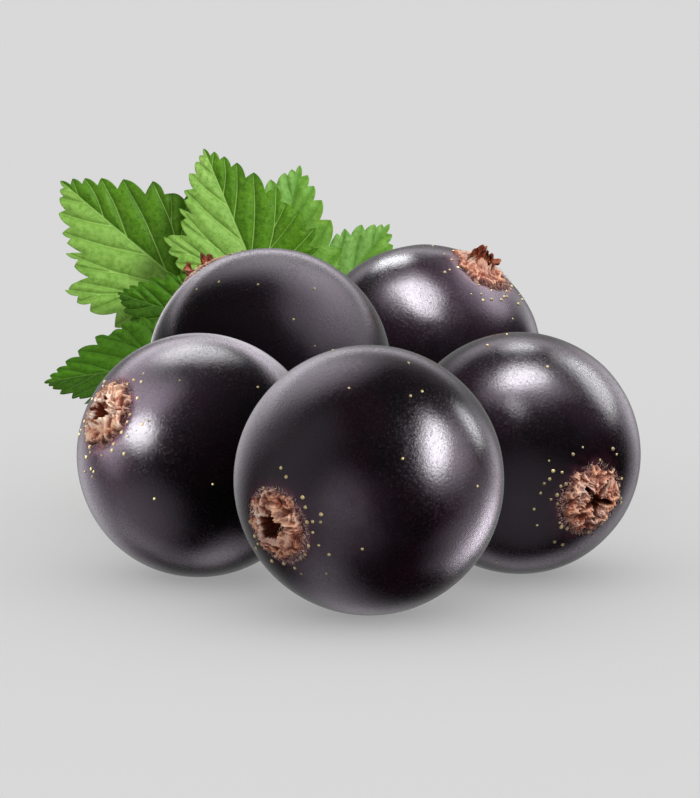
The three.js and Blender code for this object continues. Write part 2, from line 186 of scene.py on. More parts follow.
# Veins of the blade of length 1, each from its root to a tooth, with its width at the root.
VEINS = (
    (((0, -0.01), (0, 0.5), (0, 1)), 0.0105),
    (((0, 0.848), (0.035, 0.91), (0.057, 0.945)), 0.0037),
    (((0, 0.641), (0.07, 0.765), (0.108, 0.884)), 0.005),
    (((0, 0.453), (0.1, 0.63), (0.172, 0.806)), 0.0056),
    (((0, 0.137), (0.15, 0.43), (0.252, 0.694)), 0.0062),
    (((0, 0), (0.217, 0.259), (0.362, 0.545)), 0.0074),
    (((0.235, 0.29), (0.32, 0.36), (0.377, 0.417)), 0.0037),
    (((0.14, 0.16), (0.31, 0.25), (0.44, 0.33)), 0.0037),
    (((0, 0), (0.301, 0.091), (0.5, 0.178)), 0.0062),
    (((0.13, 0.035), (0.31, 0.01), (0.46, 0.042)), 0.0037),
    (((0, 0), (0.16, -0.045), (0.29, -0.062)), 0.0031),
    (((0, 0.9), (-0.02, 0.935), (-0.04, 0.96)), 0.0031),
    (((0, 0.78), (-0.045, 0.86), (-0.08, 0.928)), 0.0037),
    (((0, 0.56), (-0.085, 0.71), (-0.152, 0.868)), 0.0056),
    (((0, 0.284), (-0.13, 0.53), (-0.23, 0.77)), 0.0062),
    (((0, 0), (-0.089, 0.126), (-0.22, 0.4), (-0.31, 0.668)), 0.0068),
    (((-0.17, 0.3), (-0.26, 0.44), (-0.337, 0.577)), 0.0037),
    (((0, 0), (-0.33, 0.302), (-0.485, 0.525)), 0.0068),
    (((-0.25, 0.225), (-0.34, 0.39), (-0.405, 0.503)), 0.0037),
    (((-0.36, 0.34), (-0.44, 0.385), (-0.497, 0.422)), 0.0031),
    (((-0.2, 0.18), (-0.36, 0.26), (-0.484, 0.327)), 0.0037),
    (((0, 0), (-0.25, 0.08), (-0.46, 0.148)), 0.0056),
    (((0, 0), (-0.19, -0.005), (-0.37, -0.018)), 0.0037),
)

# `at` is where the blade meets its stalk, `tip` the tip of its middle lobe, `facing` the side it
# shows, `petiole` the way of the stalk to the spur, and `look` which of the leaf colours it has. The deep
# colours of the two low leaves are their darker green with painted shade; the pale colours of the two
# leaves behind are a paler green with painted sheen, and their veins are painted dark as shade in their
# grooves.
LEAVES = {
    "left": {
        "at": (-8.95, 31.3, 11.45), "tip": (-15.55, 32.05, 17), "facing": (0, -0.99, 0.14), "look": "fresh",
        "petiole": ((-8, 31.4, 10.3), (-6.3, 32.6, 6.4), (-5.7, 34.1, 3)),
    },
    "top": {
        "at": (-4.85, 29.8, 11.9), "tip": (-7.8, 30.75, 18.85), "facing": (0, -0.99, 0.14), "look": "fresh",
        "petiole": ((-4.4, 29.75, 10.7), (-3.7, 31.1, 6.4), (-3.95, 33.6, 2.9)),
    },
    "behind": {
        "at": (-4.6, 36.4, 8.75), "tip": (-2.75, 37.6, 17.35), "facing": (0, -0.99, 0.14), "look": "pale",
        "petiole": ((-4.8, 36.25, 7.6), (-5.05, 35.8, 5.1), (-5, 35, 2.9)),
    },
    "right": {
        "at": (-2.4, 38.2, 7.9), "tip": (2.2, 39.05, 13.95), "facing": (0, -0.99, 0.14), "look": "pale",
        "petiole": ((-2.95, 38.05, 7.1), (-3.8, 36.6, 4.8), (-4, 34.6, 2.8)),
    },
    "low": {
        "at": (-9.55, 26, 7.85), "tip": (-16.1, 26.3, 7), "facing": (-0.1, -0.86, 0.5), "look": "deep",
        "petiole": ((-8.7, 26.4, 7.8), (-7.1, 30, 5.6), (-6.1, 33.1, 2.5)), "width": 0.8,
    },
    "inner": {
        "at": (-7.6, 28.3, 9.85), "tip": (-12.35, 28.75, 11.35), "facing": (-0.05, -0.99, 0.14),
        "look": "deep",
        "petiole": ((-6.9, 28.3, 9.6), (-5.1, 30, 6.3), (-4.95, 33, 2.8)),
    },
}

# The camera and the lights ----------------------------------------------------------------------
CAMERA_AT = (0, -180, 36.6)
CAMERA_PITCH = math.radians(8.43)
PICTURE_HEIGHT = 798
FOCAL_PIXELS = 3970
SENSOR = 36
CAMERA_SEES = (0.005, 20)  # metres
RIGHT = Vector((1, 0, 0))
UP = Vector((0, math.sin(CAMERA_PITCH), math.cos(CAMERA_PITCH)))
BACK = Vector((0, -math.cos(CAMERA_PITCH), math.sin(CAMERA_PITCH)))

# Softboxes for one berry each: the spot of its skin that mirrors the box towards the camera (right and
# up of its middle, as shares of its radius), the box's width and height as seen from there and its
# roll, in degrees, and its radiance.
BOX_DISTANCE = 80
SOFTBOXES = {
    "front": (
        ("key", (0.472, 0.25), 29, 55, -32, 25), ("halo", (0.55, 0.18), 70, 74, -30, 4.4),
        ("edge", (0.735, 0.392), 18, 30, -10, 9), ("strip", (0.775, -0.41), 37, 52, -30, 5.4),
        ("band", (0.72, -0.33), 64, 84, -30, 1.5), ("right_rim", (0.92, -0.05), 34, 80, 0, 1.9),
        ("left_rim", (-0.68, 0.58), 96, 80, 45, 1.5), ("top", (-0.27, 0.78), 70, 60, 20, 2.2),
        ("crown", (-0.2, 0.93), 100, 26, 0, 1.6),
        ("belly", (-0.2, -0.22), 64, 90, 0, 0.9), ("left_fill", (-0.55, -0.1), 110, 150, 0, 0.55),
        ("low", (-0.25, -0.77), 120, 50, -10, 0.95),
    ),
    "left": (
        ("key", (-0.46, 0.185), 42, 34, 0, 26), ("halo", (-0.4, 0.42), 68, 76, 0, 5.4),
        ("low_halo", (-0.68, 0.08), 56, 46, 0, 6), ("top", (-0.04, 0.82), 56, 40, 0, 7.5),
        ("wash", (-0.45, 0.7), 90, 60, 0, 2.6), ("crown", (0, 0.93), 120, 26, 0, 2.4),
        ("right_rim", (0.45, 0.84), 84, 40, -30, 1.9),
        ("left_rim", (-0.9, -0.2), 70, 90, 0, 1.5), ("low_left", (-0.48, -0.45), 110, 90, 0, 1.2),
        ("low_right", (0.17, -0.77), 60, 40, 0, 1.2), ("low", (0, -0.82), 130, 50, 0, 0.8),
    ),
    "right": (
        ("key", (0.015, 0.61), 50, 34, 0, 20), ("halo", (0.03, 0.58), 90, 66, 0, 4.8),
        ("tail", (-0.05, 0.38), 18, 30, 30, 7), ("top", (0.02, 0.85), 24, 22, 0, 7),
        ("side", (0.595, 0.55), 36, 64, -40, 7.5), ("right_rim", (0.8, 0.45), 60, 60, 0, 1.8),
        ("low_rim", (0.9, -0.25), 50, 80, 0, 0.8), ("crown", (-0.02, 0.9), 90, 34, 0, 1.8),
        ("belly", (0, -0.4), 130, 120, 0, 0.6), ("low", (-0.1, -0.88), 130, 40, 0, 0.9),
    ),
    "back_left": (
        ("broad", (0.5, 0.46), 110, 96, -20, 2.4), ("crown", (0.2, 0.79), 110, 70, 0, 2.2),
        ("top", (-0.1, 0.95), 130, 22, 0, 2.4), ("left_rim", (-0.93, 0.33), 30, 70, 0, 1.3),
    ),
    "back_right": (
        ("key", (-0.06, 0.54), 66, 34, -28, 21), ("lobe", (-0.255, 0.84), 26, 24, 0, 12),
        ("halo", (-0.1, 0.56), 86, 60, -25, 5), ("broad", (0.5, 0.58), 70, 54, 0, 5.5),
        ("crown", (0.05, 0.93), 120, 24, 0, 1.6), ("right_rim", (0.88, 0.3), 44, 70, 0, 1.4),
    ),
}
RAGGED = {"scale": 2.4, "depth": 0.55}  # the noise that frays the edge of a softbox
CORE = 0.35  # the evenly lit share of a bright softbox, counted across it
KEY_RADIANCE = 6  # softboxes dimmer than this fill, and are more violet
KEY_COLOUR = (0.97, 1, 1)
FILL_COLOUR = (0.97, 0.89, 1)
LEAF_KEY = {
    "aim": (-5, 25, 10), "direction": (0.62, 0.5, 0.6), "distance": 160, "size": 80,
    "lights": ("blade_", "sepals_", "hairs_", "stalks_", "woody_"),
}
FLOOR_DROP = 1e-5  # metres


def origin_of_drawing():
    """Where the drawing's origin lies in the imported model, from the foot of the front berry."""
    foot = next(m for m in frame["record"]["mounts"] if m["name"] == "rest_front")
    x, y, _ = BERRIES["front"]["at"]
    return Vector(foot["pos_m"]) - MM * Vector((x, y, 0))


ORIGIN = origin_of_drawing()


def drawn(point):
    """A point of the drawing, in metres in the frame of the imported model."""
    return ORIGIN + MM * Vector(point)


def smoothstep(low, high, value):
    """0 at low, 1 at high and smooth between them."""
    t = min(max((value - low) / (high - low), 0.0), 1.0)
    return t * t * (3 - 2 * t)


def smoothsteps(low, high, values):
    """The same for an array of values."""
    t = np.clip((values - low) / (high - low), 0, 1)
    return t * t * (3 - 2 * t)


# Directions -------------------------------------------------------------------------------------
def turns(sides):
    """So many angles, evenly spaced round a full turn."""
    return [2 * math.pi * side / sides for side in range(sides)]


def level_way(angle):
    """The level direction at that angle from +X."""
    return Vector((math.cos(angle), math.sin(angle), 0))


def leaning_way(tilt, angle):
    """The direction that leans away from +Z by the tilt, towards that angle."""
    return Vector((math.sin(tilt) * math.cos(angle), math.sin(tilt) * math.sin(angle), math.cos(tilt)))


def square_ways(way):
    """Two directions that are square to that one and to each other."""
    side_way = way.orthogonal().normalized()
    return side_way, way.cross(side_way)


def spoke(angle, ways):
    """The direction at that angle from the first of two square directions to the second."""
    return math.cos(angle) * ways[0] + math.sin(angle) * ways[1]


def random_way(draw):
    """A short step any way."""
    return Vector([draw.uniform(-1, 1) for _ in range(3)])


def skin_way(right, up):
    """The direction from a berry's centre to a spot of its skin on the camera's side."""
    near = math.sqrt(max(0.0, 1 - right * right - up * up))
    return right * RIGHT + up * UP + near * BACK


def round_noise(angle, waves, offset):
    """Noise that meets itself after a full turn."""
    return noise.noise(Vector((waves * math.cos(angle), waves * math.sin(angle), offset)))


def berry_centre(spec):
    """A berry's centre in the drawing, lowered if it rests."""
    return Vector(spec["at"]) - Vector((0, 0, REST_SINK if spec["rests"] else 0))


def berry_turn(spec):
    """The turn from +Z to a berry's calyx."""
    return Vector((0, 0, 1)).rotation_difference(Vector(spec["calyx"]).normalized())


def upright_to_berry(spec):
    """What moves a point from an upright berry, centred on the origin, to this one."""
    turn, centre = berry_turn(spec), berry_centre(spec)
    return lambda point: centre + turn @ point


# Meshes -----------------------------------------------------------------------------------------
def placed(name, data):
    """A new object in the scene."""
    thing = bpy.data.objects.new(name, data)
    bpy.context.scene.collection.objects.link(thing)
    return thing


class Shell:
    """Points in the drawing, faces with their material numbers, and named values on the points."""

    def __init__(self, *value_names):
        self.points = []
        self.faces = []
        self.materials = []
        self.values = {name: [] for name in value_names}

    def add(self, points, faces, material=0, **values):
        """More points and faces. A value is one number for them all or a list, and 0 if it isn't given."""
        first = len(self.points)
        self.points.extend(points)
        self.faces.extend([first + i for i in face] for face in faces)
        self.materials.extend([material] * len(faces))
        for name, kept in self.values.items():
            given = values.get(name, 0.0)
            kept.extend(given if hasattr(given, "__len__") else [given] * len(points))

    def piece(self, name, materials, slot, nodes=()):
        """The finished object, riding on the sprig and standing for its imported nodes."""
        mesh = bpy.data.meshes.new(name)
        mesh.from_pydata([drawn(p) for p in self.points], [], self.faces)
        mesh.polygons.foreach_set("use_smooth", [True] * len(self.faces))
        mesh.polygons.foreach_set("material_index", self.materials)
        for value_name, values in self.values.items():
            layer = mesh.attributes.new(value_name, "FLOAT", "POINT")
            layer.data.foreach_set("value", values)
        for material in materials:
            mesh.materials.append(material)
        mesh.update()
        piece = placed(name, mesh)
        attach(piece, BODY)
        if nodes:
            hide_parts(*nodes)
        return piece


def ring_faces(rings, sides, first_pole=True, last_pole=True):
    """Faces of a skin over rings of points. A pole is one point before the first ring or after the last."""
    start = 1 if first_pole else 0
    faces = []
    for ring in range(rings - 1):
        for side in range(sides):
            a = start + ring * sides + side
            b = start + ring * sides + (side + 1) % sides
            faces.append((a, b, b + sides, a + sides))
    if first_pole:
        faces += [(0, start + (side + 1) % sides, start + side) for side in range(sides)]
    if last_pole:
        end = start + rings * sides
        last = end - sides
        faces += [(end, last + side, last + (side + 1) % sides) for side in range(sides)]
    return faces


def smooth_line(points, steps):
    """A Catmull-Rom line through the points, with so many steps between two of them."""
    line = [Vector(p) for p in points]
    line = [2 * line[0] - line[1], *line, 2 * line[-1] - line[-2]]
    made = []
    for i in range(1, len(line) - 2):
        a, b, c, d = line[i - 1: i + 3]
        for step in range(steps):
            t = step / steps
            bend = (2 * a - 5 * b + 4 * c - d) * t * t
            twist = (3 * b - 3 * c + d - a) * t**3
            made.append(0.5 * (2 * b + (c - a) * t + bend + twist))
    return [*made, line[-2]]


def spread(values, count):
    """So many numbers along the values, evenly spaced."""
    return np.interp(np.linspace(0, len(values) - 1, count), range(len(values)), values).tolist()


def tube(path, radii, sides, roughness, seed):
    """Points and faces of a round closed tube.

    The radii are spread along it, and `roughness` is its unevenness as a share of them.
    """
    count = len(path)
    points = [path[0].copy()]
    normal = None
    for i, (centre, radius) in enumerate(zip(path, spread(radii, count))):
        along = (path[min(i + 1, count - 1)] - path[max(i - 1, 0)]).normalized()
        if normal is None:
            normal = along.orthogonal()
        normal = (normal - normal.dot(along) * along).normalized()
        ways = normal, along.cross(normal)
        for angle in turns(sides):
            out = spoke(angle, ways)
            uneven = 1 + roughness * noise.noise(2.5 * centre + 1.5 * out + Vector((seed, 0, 0)))
            points.append(centre + radius * uneven * out)
    points.append(path[-1].copy())
    return points, ring_faces(count, sides)


# Shaders ----------------------------------------------------------------------------------------
def feed(socket, value):
    """Link another socket to this one, or set its value. A colour is given as red, green and blue."""
    if isinstance(value, bpy.types.NodeSocket):
        socket.id_data.links.new(value, socket)
    elif socket.type == "RGBA":
        socket.default_value = (*value, 1)
    else:
        socket.default_value = value


def nodes_of(tree):
    """A function that adds a node, sets its values and feeds its inputs.

    An input goes by its name, with _ for a space, or as i0, i1 and so on by its place.
    """

    def add(kind, settings=None, **inputs):
        node = tree.nodes.new(kind)
        for key, value in (settings or {}).items():
            setattr(node, key, value)
        for key, value in inputs.items():
            by_place = key[0] == "i" and key[1:].isdigit()
            feed(node.inputs[int(key[1:]) if by_place else key.replace("_", " ")], value)
        return node

    return add


def mix_colour(add, share, first, second, kind="MIX"):
    """The first colour where the share is 0, the second where it is 1."""
    node = add("ShaderNodeMix", {"data_type": "RGBA", "blend_type": kind})
    for name, value in (("Factor_Float", share), ("A_Color", first), ("B_Color", second)):
        feed(next(s for s in node.inputs if s.identifier == name), value)
    return next(s for s in node.outputs if s.identifier == "Result_Color")


def tinted(add, base, tint, share=1.0):
    """The base colour times the tint, in so large a share."""
    return mix_colour(add, share, base, tint, "MULTIPLY")


def math_node(add, operation, *values):
    """The sum, difference or product of two values."""
    inputs = {f"i{i}": value for i, value in enumerate(values)}
    return add("ShaderNodeMath", {"operation": operation}, **inputs).outputs[0]


def map_range(add, value, low, high, to_low, to_high, kind="SMOOTHSTEP"):
    """The value, carried from one range to another."""
    node = add("ShaderNodeMapRange", {"interpolation_type": kind}, Value=value)
    for socket, limit in (("From Min", low), ("From Max", high), ("To Min", to_low), ("To Max", to_high)):
        node.inputs[socket].default_value = limit
    return node.outputs["Result"]


def ramp(add, value, low, high):
    """0 where the value is at low or beyond, 1 where it is at high or beyond, smooth between them."""
    return map_range(add, value, low, high, 0, 1)


def cloud(add, scale, detail, roughness=0.5):
    """Soft noise between 0 and 1 that is fixed to the piece, with so many clouds for each metre."""
    where = add("ShaderNodeTexCoord").outputs["Object"]
    made = add("ShaderNodeTexNoise", Vector=where, Scale=scale, Detail=detail, Roughness=roughness)
    return made.outputs["Fac"]


def value_on(add, name):
    """A named value that the mesh holds on its points."""
    return add("ShaderNodeAttribute", {"attribute_name": name}).outputs["Fac"]


def group_of(name, inputs, output, kind, build):
    """The node group of that name. It is built when the first material asks for it."""
    group = bpy.data.node_groups.get(name)
    if group:
        return group
    group = bpy.data.node_groups.new(name, "ShaderNodeTree")
    for label, socket_kind, value in inputs:
        group.interface.new_socket(label, in_out="INPUT", socket_type=socket_kind).default_value = value
    group.interface.new_socket(output, in_out="OUTPUT", socket_type=kind)
    add = nodes_of(group)
    given = add("NodeGroupInput").outputs
    feed(add("NodeGroupOutput").inputs[output], build(add, given))
    return group


def build_mottle(add, given):
    """A colour that goes from the first to the second in soft cloudy patches."""
    low = math_node(add, "SUBTRACT", given["Balance"], 0.15)
    over = math_node(add, "SUBTRACT", cloud(add, given["Scale"], 4.0, 0.6), low)
    return mix_colour(add, ramp(add, over, 0.0, 0.3), given["First Colour"], given["Second Colour"])


def build_grain(add, given):
    """Fine even grain, as a height between 0 and 1."""
    fine = cloud(add, given["Scale"], 2.0, 0.7)
    coarse = cloud(add, math_node(add, "MULTIPLY", given["Scale"], 0.2), 1.0)
    both = add("ShaderNodeMix", {"data_type": "FLOAT"}, i0=given["Coarse Share"], i2=fine, i3=coarse)
    return both.outputs[0]


MOTTLE_INPUTS = (
    ("First Colour", "NodeSocketColor", (0, 0, 0, 1)),
    ("Second Colour", "NodeSocketColor", (1, 1, 1, 1)),
    ("Scale", "NodeSocketFloat", 400.0),
    ("Balance", "NodeSocketFloat", 0.5),
)
GRAIN_INPUTS = (("Scale", "NodeSocketFloat", 9000.0), ("Coarse Share", "NodeSocketFloat", 0.3))


def mottled(add, first, second, scale, balance=0.5):
    """Both colours in soft patches, with less of the second where the balance is higher."""
    tree = group_of("Sprig Mottle", MOTTLE_INPUTS, "Colour", "NodeSocketColor", build_mottle)
    values = {"First_Colour": first, "Second_Colour": second, "Scale": scale, "Balance": balance}
    return add("ShaderNodeGroup", {"node_tree": tree}, **values).outputs["Colour"]


def grain(add, scale, coarse):
    """Fine grain, as a height, with so many grains for each metre."""
    tree = group_of("Sprig Grain", GRAIN_INPUTS, "Height", "NodeSocketFloat", build_grain)
    return add("ShaderNodeGroup", {"node_tree": tree}, Scale=scale, Coarse_Share=coarse).outputs["Height"]


def material_of(name, **constants):
    """A new material, what adds its nodes, and its one Principled shader with its constant values."""
    material = bpy.data.materials.new(name)
    material.use_nodes = True
    shader = next(n for n in material.node_tree.nodes if n.type == "BSDF_PRINCIPLED")
    for key, value in constants.items():
        feed(shader.inputs[key.replace("_", " ")], value)
    return material, nodes_of(material.node_tree), shader


def bump(add, shader, height, depth):
    """Relief of so many metres from a height between 0 and 1."""
    feed(shader.inputs["Normal"], add("ShaderNodeBump", Height=height, Distance=depth).outputs["Normal"])


def skin_material(settings):
    """Near-black skin under a thin grey wax, its patches partly painted sheen, and a red flush round the
    calyx.
    """
    material, add, shader = material_of("berry_skin", IOR=1.5, Specular_Tint=(1, 0.925, 1))
    base = mottled(add, settings.deep, settings.skin, 260)
    wax = cloud(add, 230.0, 6.0, 0.6)
    # Patches of wax on the camera's side, lighter where they stand for the grey glow round the highlights:
    # painted sheen.
    patch = math_node(add, "MULTIPLY", value_on(add, "bloom"), ramp(add, wax, 0.2, 0.6))
    veil = math_node(add, "MULTIPLY", ramp(add, wax, 0.5, 0.8), settings.bloom)
    wax_and_painted_sheen = mix_colour(add, math_node(add, "ADD", patch, veil), base, settings.bloom_colour)
    flushed = mix_colour(add, value_on(add, "flush"), wax_and_painted_sheen, settings.flush)
    feed(shader.inputs["Base Color"], flushed)
    fine = grain(add, settings.grain_scale, 0.12)
    smooth, rough = settings.roughness - 0.08, settings.roughness + 0.12
    feed(shader.inputs["Roughness"], map_range(add, fine, 0.3, 0.7, smooth, rough, "LINEAR"))
    bump(add, shader, fine, settings.grain * MICRON)
    return material


def gland_material(settings):
    """Small resin drops, pale yellow."""
    material, add, shader = material_of("gland", Roughness=0.35, IOR=1.5)
    base = mottled(add, settings.gland, [0.6 * c for c in settings.gland], 900, 0.55)
    feed(shader.inputs["Base Color"], mix_colour(add, value_on(add, "tone"), base, settings.old_gland))
    return material


def calyx_material(settings):
    """Dry crumpled skin: buff to cream ridges partly painted highlight, red-brown folds darkened as painted
    shade, a painted orange glow where light comes through the thin skin, and a hollow darkened as painted
    shade.
    """
    material, add, shader = material_of("dry_sepals", Roughness=0.7, Specular_IOR_Level=0.15)
    fuzz = grain(add, 8000, 0.35)
    ridge = math_node(add, "ADD", value_on(add, "ridge"), math_node(add, "MULTIPLY", fuzz, 1.1))
    ridge = math_node(add, "SUBTRACT", ridge, 0.55)
    ridge = math_node(add, "ADD", ridge, math_node(add, "MULTIPLY", value_on(add, "lip"), 0.25))
    patch = math_node(add, "MULTIPLY", math_node(add, "SUBTRACT", cloud(add, 1100.0, 2.0), 0.5), 1.4)
    pale = math_node(add, "ADD", value_on(add, "pale"), patch)
    # Painted glow: orange where light would shine through the thin dry skin.
    thin = math_node(add, "MULTIPLY", value_on(add, "glow"), settings.glow)
    middle = tinted(add, mix_colour(add, pale, settings.rust, settings.tan), (1.1, 0.72, 0.5), thin)
    middle = mottled(add, middle, tinted(add, middle, (0.62, 0.34, 0.28)), 1500)
    light = tinted(add, mix_colour(add, pale, settings.buff, settings.cream), (1.0, 0.86, 0.7), thin)
    light = mottled(add, light, tinted(add, light, (1.0, 0.76, 0.58)), 900)
    # Paler on the ridges and darker in the folds: the dry skin's own tones with painted highlight on the
    # ridges and painted shade in the folds.
    ridges_pale_and_lit = mix_colour(add, ramp(add, ridge, 0.42, 0.8), middle, light)
    fold = mix_colour(add, pale, settings.fold, settings.pale_fold)
    folds_dark_and_shaded = mix_colour(add, ramp(add, ridge, 0.4, 0.1), ridges_pale_and_lit, fold)
    rimmed = mix_colour(add, value_on(add, "rim"), folds_dark_and_shaded, settings.rim)
    # The hollow: its dried remains, darkened as painted shade.
    hollow = mix_colour(add, pale, settings.hollow, settings.pale_hollow)
    feed(shader.inputs["Base Color"], mix_colour(add, value_on(add, "hollow"), rimmed, hollow))
    bump(add, shader, fuzz, 30 * MICRON)
    return material


def hair_material(settings):
    """Short hairs, tan to whitish."""
    material, add, shader = material_of("calyx_hair", Roughness=0.6)
    feed(shader.inputs["Base Color"], mix_colour(add, value_on(add, "tone"), settings.hair, settings.rust))
    return material


def leaf_material(look, settings):
    """A blade: one half painted lighter and one painted deeper as painted light and shade of its fold, sunken
    veins with painted shade beside them, and a fine net between.
    """
    parts = ("lit", "deep", "vein", "tooth")
    lit, deep, vein, tooth = (getattr(settings, f"{look}_{part}") for part in parts)
    material, add, shader = material_of(f"leaf_{look}", Roughness=settings.roughness, Specular_IOR_Level=0.15)
    # The left half takes its lit colour and the right half its deep one: painted light and shade of the
    # folded blade.
    halves = mix_colour(add, value_on(add, "half"), lit, deep)
    deeper = tinted(add, halves, (0.62, 0.72, 0.5))
    cloudy = mottled(add, halves, tinted(add, halves, (1.3, 1.17, 1.5)), 420, 0.62)
    speckled = mottled(add, cloudy, deeper, 3600, 0.56)
    where = add("ShaderNodeTexCoord").outputs["Object"]
    bent = add("ShaderNodeTexNoise", Vector=where, Scale=2500.0, Detail=2.0)
    shift = add("ShaderNodeVectorMath", {"operation": "SCALE"}, i0=bent.outputs["Color"], Scale=2.5e-4)
    moved = add("ShaderNodeVectorMath", {"operation": "ADD"}, i0=where, i1=shift.outputs[0])
    edges = {"feature": "DISTANCE_TO_EDGE"}
    cells = add("ShaderNodeTexVoronoi", edges, Vector=moved.outputs[0], Scale=settings.net)
    net = ramp(add, cells.outputs["Distance"], 0.14, 0.0)
    netted = mix_colour(add, math_node(add, "MULTIPLY", net, 0.09), speckled, vein)
    # Darker beside the veins: painted shade in the creases.
    crease = ramp(add, value_on(add, "crease"), 0.03, 0.004)
    crease_shaded = mix_colour(add, math_node(add, "MULTIPLY", crease, 0.5), netted, deeper)
    line = ramp(add, value_on(add, "vein"), 0.95, 0.35)
    veined = mix_colour(add, math_node(add, "MULTIPLY", line, 0.8), crease_shaded, vein)
    toothed = mix_colour(add, math_node(add, "MULTIPLY", value_on(add, "tooth"), 0.7), veined, tooth)
    feed(shader.inputs["Base Color"], toothed)
    relief = math_node(add, "SUBTRACT", grain(add, 6000, 0.4), math_node(add, "MULTIPLY", net, 0.8))
    bump(add, shader, relief, settings.net_depth * MICRON)
    return material


def stalk_material(name, green, blush, scale):
    """Soft green stalk with a reddish flush in patches."""
    material, add, shader = material_of(name, Roughness=0.5, Sheen_Weight=0.2)
    feed(shader.inputs["Base Color"], mottled(add, green, blush, scale, 0.6))
    bump(add, shader, grain(add, 5000, 0.5), 20 * MICRON)
    return material


def bark_material(settings):
    """Thin grey-brown bark with darker patches and pale corky spots."""
    material, add, shader = material_of("bark", Roughness=0.85)
    base = mottled(add, settings.bark, settings.bark_dark, 900)
    feed(shader.inputs["Base Color"], mottled(add, base, settings.bark_pale, 2600, 0.66))
    bump(add, shader, grain(add, 3000, 0.5), 80 * MICRON)
    return material


def wood_material(settings):
    """The cut face: pale wood with a green ring under the bark and a soft pith."""
    material, add, shader = material_of("cut_wood", Roughness=0.8)
    base = mottled(add, settings.wood, [0.8 * c for c in settings.wood], 2500)
    feed(shader.inputs["Base Color"], mix_colour(add, value_on(add, "ring"), base, settings.cambium))
    bump(add, shader, grain(add, 6000, 0.3), 30 * MICRON)
    return material


# Settings ---------------------------------------------------------------------------------------
def colour_setting(name, description, value):
    return FloatVectorProperty(
        name=name, description=description, subtype="COLOR", size=3, min=0, max=1, default=value
    )


def length_setting(name, description, value):
    return FloatProperty(name=name, description=description, default=value, unit="LENGTH", precision=6)


def share_setting(name, description, value, low=0.0, high=1.0):
    return FloatProperty(
        name=name, description=description, subtype="FACTOR", min=low, max=high, default=value
    )


def count_setting(name, description, value, low):
    return IntProperty(name=name, description=description, default=value, min=low)


def number_setting(name, description, value):
    return FloatProperty(name=name, description=description, default=value)


class SPRIG_PG_berries(bpy.types.PropertyGroup):
    """Sizes and colours of the berries."""

    sides: count_setting("Sides", "Faces round a berry", 128, 24)
    rows: count_setting("Rows", "Rings of faces from its stalk to its calyx", 84, 24)
    ring_glands: count_setting("Glands at the Calyx", "Resin glands tried round a calyx", 34, 0)
    far_glands: count_setting("Single Glands", "Glands tried over the rest", 10, 0)
    gland_size: length_setting("Gland Size", "Radius of a gland", 9.2e-5)
    roughness: share_setting("Roughness", "Of the skin under its wax", 0.2, 0.1, 0.9)
    grain: number_setting("Grain", "Depth of the fine grain, in thousandths of a millimetre", 9.0)
    grain_scale: number_setting("Grain Scale", "Grains for each metre", 8000.0)
    bloom: share_setting("Bloom", "Wax that clouds the skin", 0.08)
    skin: colour_setting("Skin", "Skin where it is thin", (0.0034, 0.0005, 0.0019))
    deep: colour_setting("Deep Skin", "Darkest skin", (0.0005, 0.0002, 0.0004))
    # Also the colour of the wax patches that are partly painted sheen.
    bloom_colour: colour_setting("Bloom Colour", "Wax on the skin", (0.03, 0.02, 0.029))
    flush: colour_setting("Flush", "Skin at the edge of the calyx", (0.06, 0.014, 0.026))
    gland: colour_setting("Gland", "Resin glands", (0.51, 0.42, 0.19))
    old_gland: colour_setting("Old Gland", "Dried resin glands", (0.2, 0.15, 0.07))


class SPRIG_PG_calyxes(bpy.types.PropertyGroup):
    """Sizes and colours of the dried flowers."""

    sides: count_setting("Sides", "Faces round a calyx", 260, 24)
    rows: count_setting("Rows", "Rings of faces across it", 84, 12)
    wrinkle: length_setting("Wrinkle", "Height of the folds", 2.1e-4)
    hairs: count_setting("Hairs", "Short hairs round each", 900, 0)
    hair_length: length_setting("Hair Length", "Longest hair", 2.5e-4)
    cream: colour_setting("Cream", "Palest ridges", (0.86, 0.74, 0.66))
    buff: colour_setting("Buff", "Ridges of a browner calyx", (0.46, 0.245, 0.19))
    tan: colour_setting("Tan", "Palest dry skin", (0.82, 0.59, 0.48))
    rust: colour_setting("Rust", "Brownest dry skin", (0.23, 0.08, 0.052))
    # Fold colours are darkened as painted shade in the folds.
    fold: colour_setting("Fold", "Skin in the folds of a brown calyx", (0.1, 0.02, 0.011))
    pale_fold: colour_setting("Pale Fold", "Skin in the folds of a pale calyx", (0.29, 0.095, 0.06))
    rim: colour_setting("Rim", "Where it joins the berry", (0.06, 0.016, 0.018))
    # Hollow colours are dark dried remains darkened further as painted shade.
    hollow: colour_setting("Hollow", "Inside the hollow of a brown calyx", (0.012, 0.002, 0.001))
    pale_hollow: colour_setting("Pale Hollow", "Inside the hollow of a pale calyx", (0.25, 0.048, 0.024))
    hair: colour_setting("Hair", "Palest hairs", (0.68, 0.5, 0.42))
    # Strength of the painted glow of light through the thin skin.
    glow: share_setting("Glow", "Orange where light comes through", 0.5)


